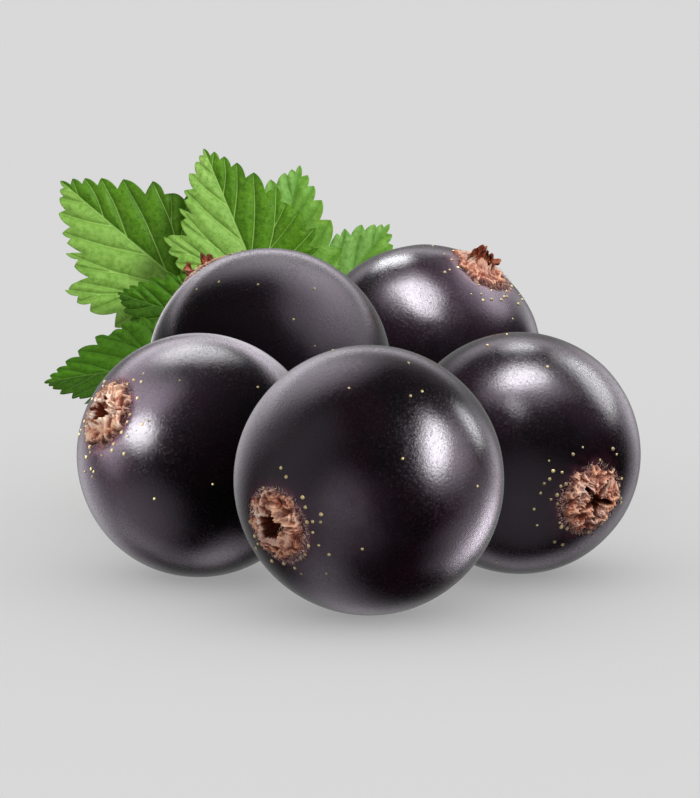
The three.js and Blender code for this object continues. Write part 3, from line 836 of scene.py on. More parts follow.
class SPRIG_PG_leaves(bpy.types.PropertyGroup):
    """Sizes and colours of the leaves."""

    spacing: number_setting("Spacing", "Distance of two points of a blade, as a share of its length", 0.0095)
    thickness: length_setting("Thickness", "Of a blade", 2.8e-4)
    quilt: number_setting("Quilting", "Rise of a blade between its veins, as a share of its length", 0.028)
    net: number_setting("Net", "Cells of the fine net for each metre", 3300.0)
    net_depth: number_setting("Net Depth", "In thousandths of a millimetre", 8.0)
    roughness: share_setting("Roughness", "Of a blade", 0.5, 0.1, 0.9)
    # Each look has one colour for the left half and one for the right half: painted light and shade of the
    # folded blade.
    fresh_lit: colour_setting("Fresh, Left Half", "Left half of a fresh leaf", (0.2, 0.37, 0.062))
    fresh_deep: colour_setting("Fresh, Right Half", "Right half of a fresh leaf", (0.079, 0.21, 0.0065))
    fresh_vein: colour_setting("Fresh Vein", "Veins of a fresh leaf", (0.3, 0.5, 0.11))
    fresh_tooth: colour_setting("Fresh Tooth", "Teeth of a fresh leaf", (0.02, 0.06, 0.005))
    # Pale look: paler green with painted sheen, and veins painted dark as the shade in their grooves.
    pale_lit: colour_setting("Pale, Left Half", "Left half of a pale leaf", (0.182, 0.368, 0.076))
    pale_deep: colour_setting("Pale, Right Half", "Right half of a pale leaf", (0.152, 0.33, 0.042))
    pale_vein: colour_setting("Pale Vein", "Veins of a pale leaf", (0.1, 0.25, 0.03))
    pale_tooth: colour_setting("Pale Tooth", "Teeth of a pale leaf", (0.14, 0.24, 0.012))
    # Deep look: the leaves' own darker green, darkened further as painted shade.
    deep_lit: colour_setting("Deep, Left Half", "Left half of a deep green leaf", (0.036, 0.108, 0.0035))
    deep_deep: colour_setting("Deep, Right Half", "Right half of a deep green leaf", (0.062, 0.19, 0.005))
    deep_vein: colour_setting("Deep Vein", "Veins of a deep green leaf", (0.11, 0.22, 0.035))
    deep_tooth: colour_setting("Deep Tooth", "Teeth of a deep green leaf", (0.04, 0.12, 0.008))


class SPRIG_PG_stalks(bpy.types.PropertyGroup):
    """Colours of strig, leaf stalks and spur."""

    green: colour_setting("Green", "Strig and pedicels", (0.3, 0.42, 0.07))
    blush: colour_setting("Blush", "Reddish flush", (0.24, 0.17, 0.05))
    petiole: colour_setting("Leaf Stalk", "Stalks of the leaves", (0.3, 0.44, 0.08))
    bark: colour_setting("Bark", "Bark of the spur", (0.2, 0.135, 0.085))
    bark_dark: colour_setting("Dark Bark", "Darker patches of the bark", (0.08, 0.05, 0.035))
    bark_pale: colour_setting("Pale Bark", "Corky spots", (0.4, 0.33, 0.25))
    wood: colour_setting("Wood", "Cut face", (0.66, 0.57, 0.36))
    cambium: colour_setting("Green Ring", "Ring under the bark", (0.3, 0.42, 0.1))


class SPRIG_PG_stage(bpy.types.PropertyGroup):
    """Floor, backdrop and light."""

    floor_size: length_setting("Floor", "Side of the floor", 6.0)
    floor: colour_setting("Floor Colour", "Pale floor", (0.45, 0.45, 0.45))
    glow: number_setting("Floor Glow", "Light from under the translucent floor", 0.29)
    backdrop: colour_setting("Backdrop", "What is seen over the floor", (0.694, 0.694, 0.694))
    ambient: number_setting("Ambient", "Strength of the light all round", 0.9)
    key: number_setting("Leaf Light", "Radiance of the light on leaves and calyxes", 30.0)


# Berries ----------------------------------------------------------------------------------------
SKIN_SHRINK = 0.02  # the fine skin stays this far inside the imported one
SEAT = {"inner": CALYX_RADIUS - 0.3, "outer": CALYX_RADIUS + 0.25, "depth": 0.1}
PIT = {"inner": 0.95, "outer": 1.5, "depth": 1.05}
CALYX_ROWS = {"reach": 2.2, "count": 17}  # closer rings of faces round the calyx
STEM_ROWS = {"reach": 1.4, "count": 11}  # and round the stalk
DENTS = {"depth": 0.05, "broad": 0.33, "small": 0.8, "small_share": 0.35}
FLAT_EDGE = 0.05  # how softly the skin turns into the flat spot it rests on
FLUSH_REACH = 0.36
SEAT_GLANDS = {"from": 0.08, "width": 1.15, "apart": 0.26}  # out from the calyx's edge
FAR_GLANDS_APART = 1.2
GLAND = {"rings": 5, "sides": 10, "height": 0.8, "root": 0.6, "round": 0.62 * math.pi}


def berry_angles(radius, rows):
    """Angles from the calyx down to the stalk, closer together near both ends."""
    top = CALYX_ROWS["reach"] / radius
    foot = math.pi - STEM_ROWS["reach"] / radius
    return [
        *np.linspace(0, top, CALYX_ROWS["count"] + 1)[1:],
        *np.linspace(top, foot, rows)[1:-1],
        *np.linspace(foot, math.pi, STEM_ROWS["count"] + 1)[:-1],
    ]


def sunk(form, off_axis):
    """Depth of a round hollow with sloping walls, so far from its middle."""
    return form["depth"] * (1 - smoothstep(form["inner"], form["outer"], off_axis))


def skin_relief(off_axis, upper):
    """How far the skin lies under the round form: the calyx's seat and pit above, the dimple below."""
    if upper:
        return sunk(SEAT, off_axis) + sunk(PIT, off_axis)
    return STEM_DIMPLE["depth"] * math.exp(-((off_axis / STEM_DIMPLE["radius"]) ** 4))


def skin_point(spec, direction):
    """A point on a berry's skin in the drawing, that way from its centre.

    The radius also shifts the noise, so that no two berries have the same dents.
    """
    radius = spec["radius"]
    along = direction.dot(Vector(spec["calyx"]).normalized())
    off_axis = radius * math.sqrt(max(0.0, 1 - along * along))
    sway = noise.noise(DENTS["broad"] * radius * direction + Vector((3.1 * radius, 0, 0)))
    small = noise.noise(DENTS["small"] * radius * direction + Vector((0, 5 * radius, 0)))
    sway += DENTS["small_share"] * small
    down = SKIN_SHRINK + DENTS["depth"] * spec["dents"] * (1 + sway) + skin_relief(off_axis, along > 0)
    point = berry_centre(spec) + (radius - down) * direction
    if spec["rests"]:
        point.z = 0.5 * (point.z + math.sqrt(point.z**2 + FLAT_EDGE**2))
    return point


def berry_shell(spec, settings):
    """The skin, with the red flush at the calyx and the patches of wax, partly painted sheen, as values on
    it.
    """
    angles = berry_angles(spec["radius"], settings.rows)
    upright = [Vector((0, 0, 1))]
    upright += [leaning_way(angle, around) for angle in angles for around in turns(settings.sides)]
    upright.append(Vector((0, 0, -1)))
    turn = berry_turn(spec)
    directions = [turn @ d for d in upright]
    points = [skin_point(spec, d) for d in directions]
    flush = []
    for direction, point in zip(upright, points):
        reach = spec["radius"] * math.acos(max(-1.0, min(1.0, direction.z)))
        fade = math.exp(-(max(0.0, reach - CALYX_RADIUS) / FLUSH_REACH) ** 1.4)
        flush.append(max(0.0, fade * (0.55 + 0.9 * noise.noise(3 * point))))
    # Patches of wax, partly painted sheen round the highlights.
    bloom = [0.0] * len(points)
    for right, up, size, strength in spec["bloom"]:
        middle = skin_way(right, up)
        for i, direction in enumerate(directions):
            bloom[i] += strength * math.exp(-(((direction - middle).length / size) ** 2))
    shell = Shell("flush", "bloom")
    faces = [f[::-1] for f in ring_faces(len(angles), settings.sides)]
    shell.add(points, faces, flush=flush, bloom=bloom)
    return shell


def gland_directions(spec, settings, seed):
    """Where a berry's glands stand and their size: the given ones, many round the calyx, a few far apart."""
    draw = random.Random(seed)
    radius = spec["radius"]
    turn = berry_turn(spec)
    chosen = []

    def room(direction, apart):
        return all((direction - other).length * radius > apart for other, _ in chosen)

    for right, up in spec["specks"]:
        chosen.append((skin_way(right / radius, up / radius).normalized(), draw.uniform(0.55, 0.85)))
    for _ in range(settings.ring_glands):
        reach = CALYX_RADIUS + SEAT_GLANDS["from"] + SEAT_GLANDS["width"] * draw.random() ** 2.2
        direction = turn @ leaning_way(reach / radius, draw.uniform(0, 2 * math.pi))
        if room(direction, SEAT_GLANDS["apart"]):
            chosen.append((direction, draw.uniform(0.65, 1.1)))
    for _ in range(settings.far_glands):
        direction = Vector([draw.gauss(0, 1) for _ in range(3)]).normalized()
        if direction.dot(BACK) < 0.2 and room(direction, FAR_GLANDS_APART):
            chosen.append((direction, draw.uniform(0.5, 0.9)))
    return chosen


def gland_shell(spec, settings, seed):
    """Drops of resin, each a low dome that stands in the skin."""
    draw = random.Random(seed + 1)
    shell = Shell("tone")
    size = settings.gland_size / MM
    rings, sides, height = GLAND["rings"], GLAND["sides"], GLAND["height"]
    for direction, share in gland_directions(spec, settings, seed):
        radius = size * share
        base = skin_point(spec, direction)
        if spec["rests"] and base.z < 2 * size:
            continue
        ways = square_ways(direction)
        points = [base + height * radius * direction]
        for ring in range(1, rings + 1):
            angle = GLAND["round"] * ring / rings
            for around in turns(sides):
                out = spoke(around, ways)
                points.append(base + radius * (math.sin(angle) * out + height * math.cos(angle) * direction))
        points.append(base - GLAND["root"] * radius * direction)
        shell.add(points, [f[::-1] for f in ring_faces(rings, sides)], tone=draw.random())
    return shell


# Calyxes ----------------------------------------------------------------------------------------
# Heights of the dried collar. Folds over the fold level rise from it, the others sink in.
COLLAR = {
    "sunk": 0.03, "lift": 0.05, "body": 0.04, "fold_gain": 1.7, "fold_level": 0.4, "edge_drop": 0.14,
    "pit": 0.66,
}
# Where things begin and end across the collar, from the hollow's mouth at 0 to the edge at 1.
BODY_RISES = (-0.06, 0.12)
BODY_FALLS = (1.02, 0.7)
LIP = {"at": 0.14, "width": 0.17, "rises": (-0.07, 0.06)}
EDGE_DROPS = (0.85, 1.0)
PIT_DROPS = (0.02, -0.09)
RIM_SHOWS = (0.7, 1.05)
# Where the painted glow of light through the thin skin shows.
GLOW_SHOWS = (0.25, 0.7)
# Where the hollow's painted shade shows.
HOLLOW_SHOWS = (0.065, 0.01)
SEPAL = {"rows": 14, "columns": 8, "thick": 0.04}
THREADS = {"count": 5, "steps": 7, "step": 0.075, "radii": (0.03, 0.022, 0.014), "depth": 0.55}
HAIR_RADIUS = 0.008


def hollow_reach(style, angle, seed):
    """Radius of the open hollow at that angle: a ragged star."""
    star = abs(math.cos(0.5 * style["lobes"] * (angle + 0.7 * seed)))
    narrow = star ** (1 + 6 * style["cut"])
    ragged = 0.28 * round_noise(angle, 2.2, 7.3 * seed)
    ragged += 0.2 * round_noise(angle, 6, 3.1 * seed)
    return style["hollow"] * (1 - style["cut"] + 1.5 * style["cut"] * narrow + ragged)


def hollow_middle(spec, style):
    """The middle of the hollow on an upright berry, off its axis."""
    return berry_turn(spec).inverted() @ Vector(style["off"])


def crumple(spot):
    """Folds of thin dry skin at that spot, mostly 0 to 1: sharp ridges over rounded valleys."""
    warp = Vector((noise.noise(1.3 * spot), noise.noise(1.3 * spot + Vector((9, 0, 0))), 0))
    bent = spot + 0.45 * warp
    coarse = 1 - abs(2 * noise.noise(2.3 * bent))
    middle = 1 - abs(2 * noise.noise(5.6 * bent + Vector((3, 5, 0))))
    fine = 1 - abs(2 * noise.noise(12.5 * bent + Vector((7, 1, 0))))
    return 0.38 * coarse + 0.46 * middle * (0.4 + 0.6 * coarse) + 0.2 * fine * (0.4 + 0.6 * middle)


def calyx_shell(name, settings, seed):
    """A crumpled collar of dry sepals round a dark hollow, on the berry's seat."""
    spec, style = BERRIES[name], CALYXES[name]
    on_berry = upright_to_berry(spec)
    off = hollow_middle(spec, style)
    wrinkle = style["relief"] * settings.wrinkle / MM
    points = []
    values = {"ridge": [], "rim": [], "glow": [], "lip": [], "hollow": [], "pale": style["pale"]}

    def place(share, angle):
        """One point, at a share of the way from the hollow's middle to the collar's edge."""
        frayed = 0.98 + 0.2 * round_noise(angle, 2.2, 11.0 * seed)
        frayed += 0.08 * round_noise(angle, 7, 5.0 * seed)
        edge = CALYX_RADIUS * frayed
        x = off.x * (1 - share) + share * edge * math.cos(angle)
        y = off.y * (1 - share) + share * edge * math.sin(angle)
        from_middle = math.hypot(x - off.x, y - off.y)
        way = math.atan2(y - off.y, x - off.x) if from_middle > 1e-6 else angle
        mouth = hollow_reach(style, way, seed)
        across = (from_middle - mouth) / max(0.2, edge - mouth)  # 0 at the hollow's mouth, 1 at the edge
        spot = Vector((x, y, 4.7 * seed))
        fibre = round_noise(way, 6, 2.2 * from_middle + seed)
        ridge = crumple(spot) + 0.12 * fibre
        body = smoothstep(*BODY_FALLS, across) * smoothstep(*BODY_RISES, across)
        lip = math.exp(-(((across - LIP["at"]) / LIP["width"]) ** 2)) * smoothstep(*LIP["rises"], across)
        fold = COLLAR["fold_gain"] * wrinkle * (ridge - COLLAR["fold_level"])
        height = COLLAR["lift"] + body * (COLLAR["body"] + fold) + style["lip"] * lip * (0.35 + 0.6 * ridge)
        edge_drop = COLLAR["edge_drop"] * smoothstep(*EDGE_DROPS, across)
        height -= edge_drop + COLLAR["pit"] * smoothstep(*PIT_DROPS, across)
        level = math.sqrt(spec["radius"] ** 2 - x * x - y * y) - COLLAR["sunk"]
        points.append(on_berry(Vector((x, y, level + height))))
        values["ridge"].append(ridge)
        values["rim"].append(smoothstep(*RIM_SHOWS, across + 0.4 * (0.5 - ridge)))
        values["glow"].append(smoothstep(*GLOW_SHOWS, across + 0.5 * noise.noise(1.6 * spot)))
        values["lip"].append(lip)
        values["hollow"].append(smoothstep(*HOLLOW_SHOWS, across + 0.03 * fibre))

    place(0.0, 0.0)
    for row in range(1, settings.rows + 1):
        for angle in turns(settings.sides):
            place(row / settings.rows, angle)
    shell = Shell(*values)
    shell.add(points, ring_faces(settings.rows, settings.sides, last_pole=False), **values)
    add_sepals(shell, spec, style, seed)
    add_threads(shell, spec, style, seed)
    return shell


def add_sepals(shell, spec, style, seed):
    """The dried sepals round the hollow, each a thin curled blade with a ragged point."""
    draw = random.Random(300 + seed)
    on_berry = upright_to_berry(spec)
    off = hollow_middle(spec, style)
    number, longest = style["sepals"]
    rows, columns = SEPAL["rows"], SEPAL["columns"]
    for sepal in range(number):
        angle = 2 * math.pi * (sepal + 0.3 * draw.uniform(-1, 1)) / number + seed
        length = longest * draw.uniform(0.7, 1.15)
        half_width = 0.5 * length * draw.uniform(0.6, 1.0) + 0.08
        lean = draw.uniform(-0.35, 0.35)
        curl = draw.uniform(0.3, 1.5) * draw.choice((-1, 1))
        twist = draw.uniform(-1.2, 1.2)
        from_middle = hollow_reach(style, angle, seed) + 0.12
        spot = Vector((off.x + from_middle * math.cos(angle), off.y + from_middle * math.sin(angle), 0))
        spot.z = math.sqrt(spec["radius"] ** 2 - spot.x**2 - spot.y**2) + 0.4 * style["lip"]
        outward = level_way(angle)
        sideways = Vector((-outward.y, outward.x, 0))
        front, back, ridge = [], [], []
        for row in range(rows + 1):
            t = row / rows
            way = spoke(lean + curl * t * t, (Vector((0, 0, 1)), outward))
            across = spoke(twist * t, (sideways, way.cross(sideways)))
            normal = way.cross(across).normalized()
            ragged = 1 + 0.35 * noise.noise(Vector((6 * t, 9.0 * sepal, seed)))
            half = half_width * (1 - t) ** 0.75 * (0.8 + 0.4 * math.sin(math.pi * min(1, t * 1.3))) * ragged
            for column in range(columns + 1):
                s = 2 * column / columns - 1
                crease = half_width * (0.4 * math.cos(2.5 * math.pi * s) * (1 - t) - 0.5 * s * s)
                crease += 0.07 * noise.noise(Vector((3.1 * s, 4.0 * t, 5.0 * sepal + seed)))
                place = spot + s * half * across + crease * normal
                front.append(on_berry(place + 0.5 * SEPAL["thick"] * normal))
                back.append(on_berry(place - 0.5 * SEPAL["thick"] * normal))
                ridge.append(0.5 + 0.6 * noise.noise(4 * place) - 0.25 * t)
            spot = spot + (length / rows) * way
        pale = 0.05 + 0.3 * style["pale"] * draw.random()
        # The sepals take the painted glow in full.
        shell.add(front + back, sheet_faces(rows, columns), ridge=ridge + ridge, glow=1.9, pale=pale)


def sheet_faces(rows, columns):
    """Faces of a thin sheet: its front, its back and the rim that joins them."""
    wide = columns + 1
    count = (rows + 1) * wide
    faces = []
    for row in range(rows):
        for column in range(columns):
            a = row * wide + column
            quad = (a, a + 1, a + wide + 1, a + wide)
            faces += [quad, tuple(count + k for k in quad[::-1])]
    rim = list(range(wide)) + [row * wide + columns for row in range(1, rows + 1)]
    rim += [rows * wide + column for column in range(columns - 1, -1, -1)]
    rim += [row * wide for row in range(rows - 1, 0, -1)]
    faces += [(b, a, count + a, count + b) for a, b in zip(rim, rim[1:] + rim[:1])]
    return faces


def add_threads(shell, spec, style, seed):
    """The shrivelled threads of stamens and style inside the hollow."""
    draw = random.Random(500 + seed)
    on_berry = upright_to_berry(spec)
    off = hollow_middle(spec, style)
    for thread in range(THREADS["count"]):
        angle = draw.uniform(0, 2 * math.pi)
        x, y = off.x + 0.12 * math.cos(angle), off.y + 0.12 * math.sin(angle)
        path = [Vector((x, y, spec["radius"] - THREADS["depth"]))]
        way = Vector((0.5 * math.cos(angle), 0.5 * math.sin(angle), 1.0))
        for _ in range(THREADS["steps"]):
            way = way + 0.9 * random_way(draw)
            way.z = 0.6 * abs(way.z)
            way.normalize()
            path.append(path[-1] + THREADS["step"] * way)
        line = [on_berry(p) for p in path]
        points, faces = tube(line, THREADS["radii"], sides=6, roughness=0.3, seed=thread)
        # The threads take part of the hollow's painted shade.
        shell.add(points, faces, ridge=0.75, rim=0.1, hollow=0.3, pale=0.5)


def hair_shell(name, settings, seed):
    """Short tapering hairs that lean out over the edge of the calyx."""
    draw = random.Random(700 + seed)
    spec = BERRIES[name]
    on_berry = upright_to_berry(spec)
    longest = settings.hair_length / MM
    faces = [(0, 1, 4, 3), (1, 2, 5, 4), (2, 0, 3, 5), (3, 4, 6), (4, 5, 6), (5, 3, 6), (2, 1, 0)]
    shell = Shell("tone")
    for _ in range(settings.hairs):
        angle = draw.uniform(0, 2 * math.pi)
        reach = CALYX_RADIUS * (1.05 - 0.3 * draw.random() ** 1.3)
        x, y = reach * math.cos(angle), reach * math.sin(angle)
        base = Vector((x, y, math.sqrt(spec["radius"] ** 2 - reach**2) - 0.02))
        normal = base.normalized()
        outward = level_way(angle)
        way = outward * draw.uniform(0.2, 1.2) + normal * draw.uniform(0.25, 0.8)
        way = (way + 0.7 * random_way(draw)).normalized()
        length = longest * draw.uniform(0.25, 1.0)
        drop = 0.35 * length * (outward - normal) * draw.uniform(0.1, 0.8)
        thick = HAIR_RADIUS * draw.uniform(0.8, 1.3)
        ways = square_ways(way)
        points = [base + thick * spoke(around, ways) for around in turns(3)]
        points += [base + 0.5 * length * way + 0.7 * thick * spoke(around, ways) for around in turns(3)]
        points.append(base + length * way + drop)
        shell.add([on_berry(p) for p in points], faces, tone=draw.random())
    return shell


# Leaves -----------------------------------------------------------------------------------------
TOOTH_STEPS = (0, 0.06, 0.2, 0.36, 0.52, 0.68, 0.84, 1)
NOTCH_STEPS = (0.3, 0.6, 0.88)
VEIN_STEPS = 7
VEIN_TAPER = 0.65
THICK_VEIN = 0.01  # a vein this wide or wider sinks the blade over the full reach
FAR_AWAY = 9.0
# Waves and relief of a blade of length 1, and their reach in from its rim or out from a vein.
WAVE = {"waves": 3.2, "height": 0.02, "reach": 0.16}
GRAIN = {"waves": 19, "height": 0.004, "reach": 0.03}
QUILT_REACH = 0.045
THIN_RIM = {"share": 0.35, "reach": 0.05}
TOOTH_REACH = 0.045
MIDRIB = 0.01
PETIOLE_SHARES = (0.55, 0.75, 0.9, 1, 1.2)


def bowed(start, handle, end, steps):
    """Points of a bow from start to end that is drawn towards the handle."""
    return [(1 - t) ** 2 * start + 2 * t * (1 - t) * handle + t * t * end for t in steps]


def blade_edge(teeth):
    """One edge of the blade from its tip down, on the right of the midrib, with bowed teeth."""
    points = []
    for tooth, following in zip(teeth, teeth[1:]):
        cut = tooth[2] if len(tooth) > 2 else TOOTH_CUT
        tip, after = Vector(tooth[:2]), Vector(following[:2])
        step = after - tip
        inward = Vector((step.y, -step.x))
        notch = tip + NOTCH_AT * step + cut * inward
        belly = tip.lerp(notch, 0.5) - TOOTH_BELLY * inward
        points += bowed(tip, 2 * belly - tip.lerp(notch, 0.5), notch, TOOTH_STEPS)
        rise = after - notch
        handle = notch.lerp(after, 0.5) + NOTCH_BOW * rise.length * Vector((-rise.y, rise.x)).normalized()
        points += bowed(notch, handle, after, NOTCH_STEPS)
    return points


def blade_outline():
    """The whole edge, counterclockwise from the foot of the right half."""
    right = blade_edge(RIGHT_TEETH)[::-1]
    left = [Vector((-p.x, p.y)) for p in blade_edge(LEFT_TEETH)]
    return [*right, *left[1:]]


def nearest(points, start, end):
    """Each point's distance to a straight stretch, and how far along the stretch it is, 0 to 1."""
    step = end - start
    along = np.clip(((points - start) @ step) / (step @ step), 0, 1)
    return np.linalg.norm(points - start - along[:, None] * step, axis=1), along


def edge_distance(points, outline):
    """Each point's distance to the outline."""
    closest = np.full(len(points), FAR_AWAY)
    for i in range(len(outline)):
        closest = np.minimum(closest, nearest(points, outline[i - 1], outline[i])[0])
    return closest


def inside(points, outline):
    """Which points lie inside the outline, by counting the edges to their right."""
    crossed = np.zeros(len(points), bool)
    x, y = points[:, 0], points[:, 1]
    for i in range(len(outline)):
        (ax, ay), (bx, by) = outline[i - 1], outline[i]
        if ay != by:
            crossed ^= ((ay > y) != (by > y)) & (x < (bx - ax) * (y - ay) / (by - ay) + ax)
    return crossed


def vein_paths():
    """Each vein as a bent line of flat points, with its width at the root."""
    lines = [(smooth_line([(*q, 0) for q in line], VEIN_STEPS), width) for line, width in VEINS]
    return [([np.array(p[:2]) for p in line], width) for line, width in lines]


def blade_triangles(spacing):
    """Flat points and triangles that fill the blade's outline, with edges along the veins."""
    outline = np.array([tuple(p) for p in blade_outline()])
    low, high = outline.min(0), outline.max(0)
    row_height = spacing * math.sqrt(3) / 2
    grid = []
    for row in range(int((high[1] - low[1]) / row_height) + 1):
        shift = 0.5 * spacing * (row % 2)
        xs = np.arange(low[0] + shift, high[0], spacing)
        grid.append(np.column_stack([xs, np.full(len(xs), low[1] + row * row_height)]))
    grid = np.concatenate(grid)
    grid = grid[inside(grid, outline)]
    veins = [path for path, _ in vein_paths()]
    close = edge_distance(grid, outline)
    for path in veins:
        for start, end in zip(path, path[1:]):
            close = np.minimum(close, nearest(grid, start, end)[0] + 0.1 * spacing)
    grid = grid[close > 0.55 * spacing]
    flat = [Vector(p) for p in outline]
    edges = []
    for path in veins:
        edges += [(len(flat) + i, len(flat) + i + 1) for i in range(len(path) - 1)]
        flat += [Vector(p) for p in path]
    flat += [Vector(p) for p in grid]
    found = geometry.delaunay_2d_cdt(flat, edges, [list(range(len(outline)))], 1, 1e-6)
    return np.array([tuple(p) for p in found[0]]), [tuple(f) for f in found[2]], outline


def vein_values(points):
    """How far each point is from the nearest vein, as blade lengths and as widths of that vein."""
    away = np.full(len(points), FAR_AWAY)
    widths = np.full(len(points), FAR_AWAY)
    for path, width in vein_paths():
        stretches = len(path) - 1
        for i in range(stretches):
            distance, along = nearest(points, path[i], path[i + 1])
            here = width * (1 - VEIN_TAPER * (i + along) / stretches)
            widths = np.minimum(widths, distance / here)
            away = np.minimum(away, distance / (0.5 + 0.5 * min(1.0, width / THICK_VEIN)))
    return away, widths


def leaf_frame(spec):
    """The turn and place of a blade: X across it, Y to its tip, Z to the side it shows."""
    at, tip = Vector(spec["at"]), Vector(spec["tip"])
    up = (tip - at).normalized()
    across = up.cross(Vector(spec["facing"])).normalized()
    turn = Matrix((across, up, across.cross(up))).transposed().to_4x4()
    return Matrix.Translation(at) @ turn, (tip - at).length


def flat_noise(points, waves, offset):
    """Noise over flat points."""
    return np.array([noise.noise(Vector((waves * x, waves * y, offset))) for x, y in points])


def leaf_shell(name, settings, flat, veins, seed):
    """A quilted blade with sunken veins and toothed rim, on its stalk."""
    spec = LEAVES[name]
    place, length = leaf_frame(spec)
    points, triangles, outline = flat
    away, widths = veins
    rim = edge_distance(points, outline)
    x, y = points[:, 0], points[:, 1]
    wave = flat_noise(points, WAVE["waves"], 8.0 * seed)
    fine = flat_noise(points, GRAIN["waves"], 3.0 * seed)
    relief = BLADE_FOLD * np.abs(x) - BLADE_CURL * y * np.abs(y)
    relief += settings.quilt * (1 - np.exp(-away / QUILT_REACH))
    waved = WAVE["height"] * wave * smoothsteps(WAVE["reach"], 0.0, rim)
    relief += waved + GRAIN["height"] * fine * smoothsteps(0.0, GRAIN["reach"], away)
    thin = THIN_RIM["share"]
    thick = settings.thickness / MM * (thin + (1 - thin) * smoothsteps(0.0, THIN_RIM["reach"], rim))
    # half: 0 on the left and 1 on the right, the mask of the painted light and shade of the two halves.
    half = smoothsteps(-MIDRIB, MIDRIB, x)
    tooth = smoothsteps(TOOTH_REACH, 0.0, rim) * np.clip(0.2 + 1.2 * wave, 0, 1) * (0.3 + 0.7 * half)
    across = length * spec.get("width", 1.0) * x
    sheets = []
    for side in (1, -1):
        sheet = np.column_stack([across, length * y, length * relief + side * thick / 2])
        sheets += [place @ Vector(p) for p in sheet]
    count = len(points)
    edges = {edge for a, b, c in triangles for edge in ((a, b), (b, c), (c, a))}
    border = [(a, b) for a, b in edges if (b, a) not in edges]
    faces = [*triangles, *[(count + c, count + b, count + a) for a, b, c in triangles]]
    faces += [(b, a, count + a, count + b) for a, b in border]
    values = {"vein": widths, "crease": away, "half": half, "tooth": tooth}
    shell = Shell(*values)
    shell.add(sheets, faces, **{key: np.tile(value, 2).tolist() for key, value in values.items()})
    stalk = smooth_line(petiole_points(spec), 8)
    radii = [share * PETIOLE_RADIUS for share in PETIOLE_SHARES]
    shell.add(*tube(stalk, radii, sides=14, roughness=0.12, seed=seed), material=1)
    return shell


def petiole_points(spec):
    """The way of a leaf's stalk, from under the blade's midrib into the spur."""
    in_blade = Vector(spec["at"]).lerp(Vector(spec["tip"]), 0.1)
    in_spur = Vector(spec["petiole"][-1]) - Vector((0, 0, 0.9))
    return [in_blade, *spec["petiole"], in_spur]


# Strig and spur ---------------------------------------------------------------------------------
NODE_STOPS = ((-1, 0.3), (-0.6, 0.46), (-0.2, 0.53), (0.2, 0.5), (0.6, 0.4), (1, 0.28))  # place, radius
BRACT_RADII = (0.2, 0.22, 0.17, 0.1, 0.02)
SPUR_SIDES = 48
# Scars ring the bark, this many rings of points apart, from past the cut end on.
SCARS = {"apart": 7, "middle": 3.0, "width": 0.9, "height": 0.07, "after": 4}
BARK = {"share": 0.93, "crack": 0.05}
CUT_FACE = {"rings": 8, "share": 0.9, "proud": 0.03, "root": 0.1}
BUD = {"at": (-5.0, 34.2, 1.9), "scales": 9, "radii": (0.24, 0.26, 0.18, 0.03)}
SCALE_STOPS = ((0, 0), (0.3, 0.35), (0.3, 0.75), (0.15, 1.05))  # out and up from a scale's root


def dimple_point(spec, outside):
    """A point on a berry's axis, so far outside the bottom of its stem dimple."""
    reach = spec["radius"] - STEM_DIMPLE["depth"] + SOCKET_GAP + outside
    return berry_centre(spec) - reach * Vector(spec["calyx"]).normalized()


def strig_shell():
    """The rachis with its nodes and bracts, and a pedicel to every berry."""
    shell = Shell()
    radii = (RACHIS_RADIUS, 0.8 * RACHIS_RADIUS)
    shell.add(*tube(smooth_line(RACHIS, 10), radii, sides=18, roughness=0.12, seed=1))
    for seed, (name, points) in enumerate(PEDICELS.items()):
        spec = BERRIES[name]
        line = smooth_line([*points, dimple_point(spec, PEDICEL_STRAIGHT), dimple_point(spec, 0.05)], 9)
        shares = [1.15, *[1.0] * len(points), PEDICEL_END / PEDICEL_RADIUS]
        radii = [PEDICEL_RADIUS * share for share in shares]
        shell.add(*tube(line, radii, sides=14, roughness=0.14, seed=seed))
        add_node(shell, Vector(points[0]), (line[4] - line[0]).normalized(), seed)
    return shell


def add_node(shell, at, way, seed):
    """The swelling where a pedicel starts, with its small bract."""
    knot = [at + 0.5 * place * way for place, _ in NODE_STOPS]
    shell.add(*tube(knot, [radius for _, radius in NODE_STOPS], sides=14, roughness=0.15, seed=seed))
    side_way, _ = square_ways(way)
    if side_way.z < 0:
        side_way = -side_way
    bract = []
    for i in range(len(BRACT_RADII)):
        t = i / (len(BRACT_RADII) - 1)
        bract.append(at + 0.35 * side_way + t * (0.75 * side_way - 0.45 * way) + 0.15 * t**2 * way)
    shell.add(*tube(bract, BRACT_RADII, sides=10, roughness=0.1, seed=seed))


def spur_shell():
    """Ringed bark from the cut end to the bud, the cut face and the bud's scales."""
    shell = Shell("ring")
    path = smooth_line(SPUR, 14)
    points, faces = tube(path, SPUR_RADII, SPUR_SIDES, roughness=0.1, seed=4)
    for i, centre in enumerate(path):
        from_scar = i % SCARS["apart"] - SCARS["middle"]
        scar = SCARS["height"] * math.exp(-((from_scar / SCARS["width"]) ** 2)) if i > SCARS["after"] else 0.0
        for side in range(SPUR_SIDES):
            k = 1 + i * SPUR_SIDES + side
            crack = BARK["crack"] * round_noise(side, 9, 0.9 * i)  # the side's number strews the cracks
            points[k] = centre + (points[k] - centre) * (BARK["share"] + scar + crack)
    for point in points:
        point.z = max(point.z, 0.0)
    shell.add(points, faces)
    add_cut_face(shell, path[0], (path[0] - path[3]).normalized())
    add_bud_scales(shell)
    return shell


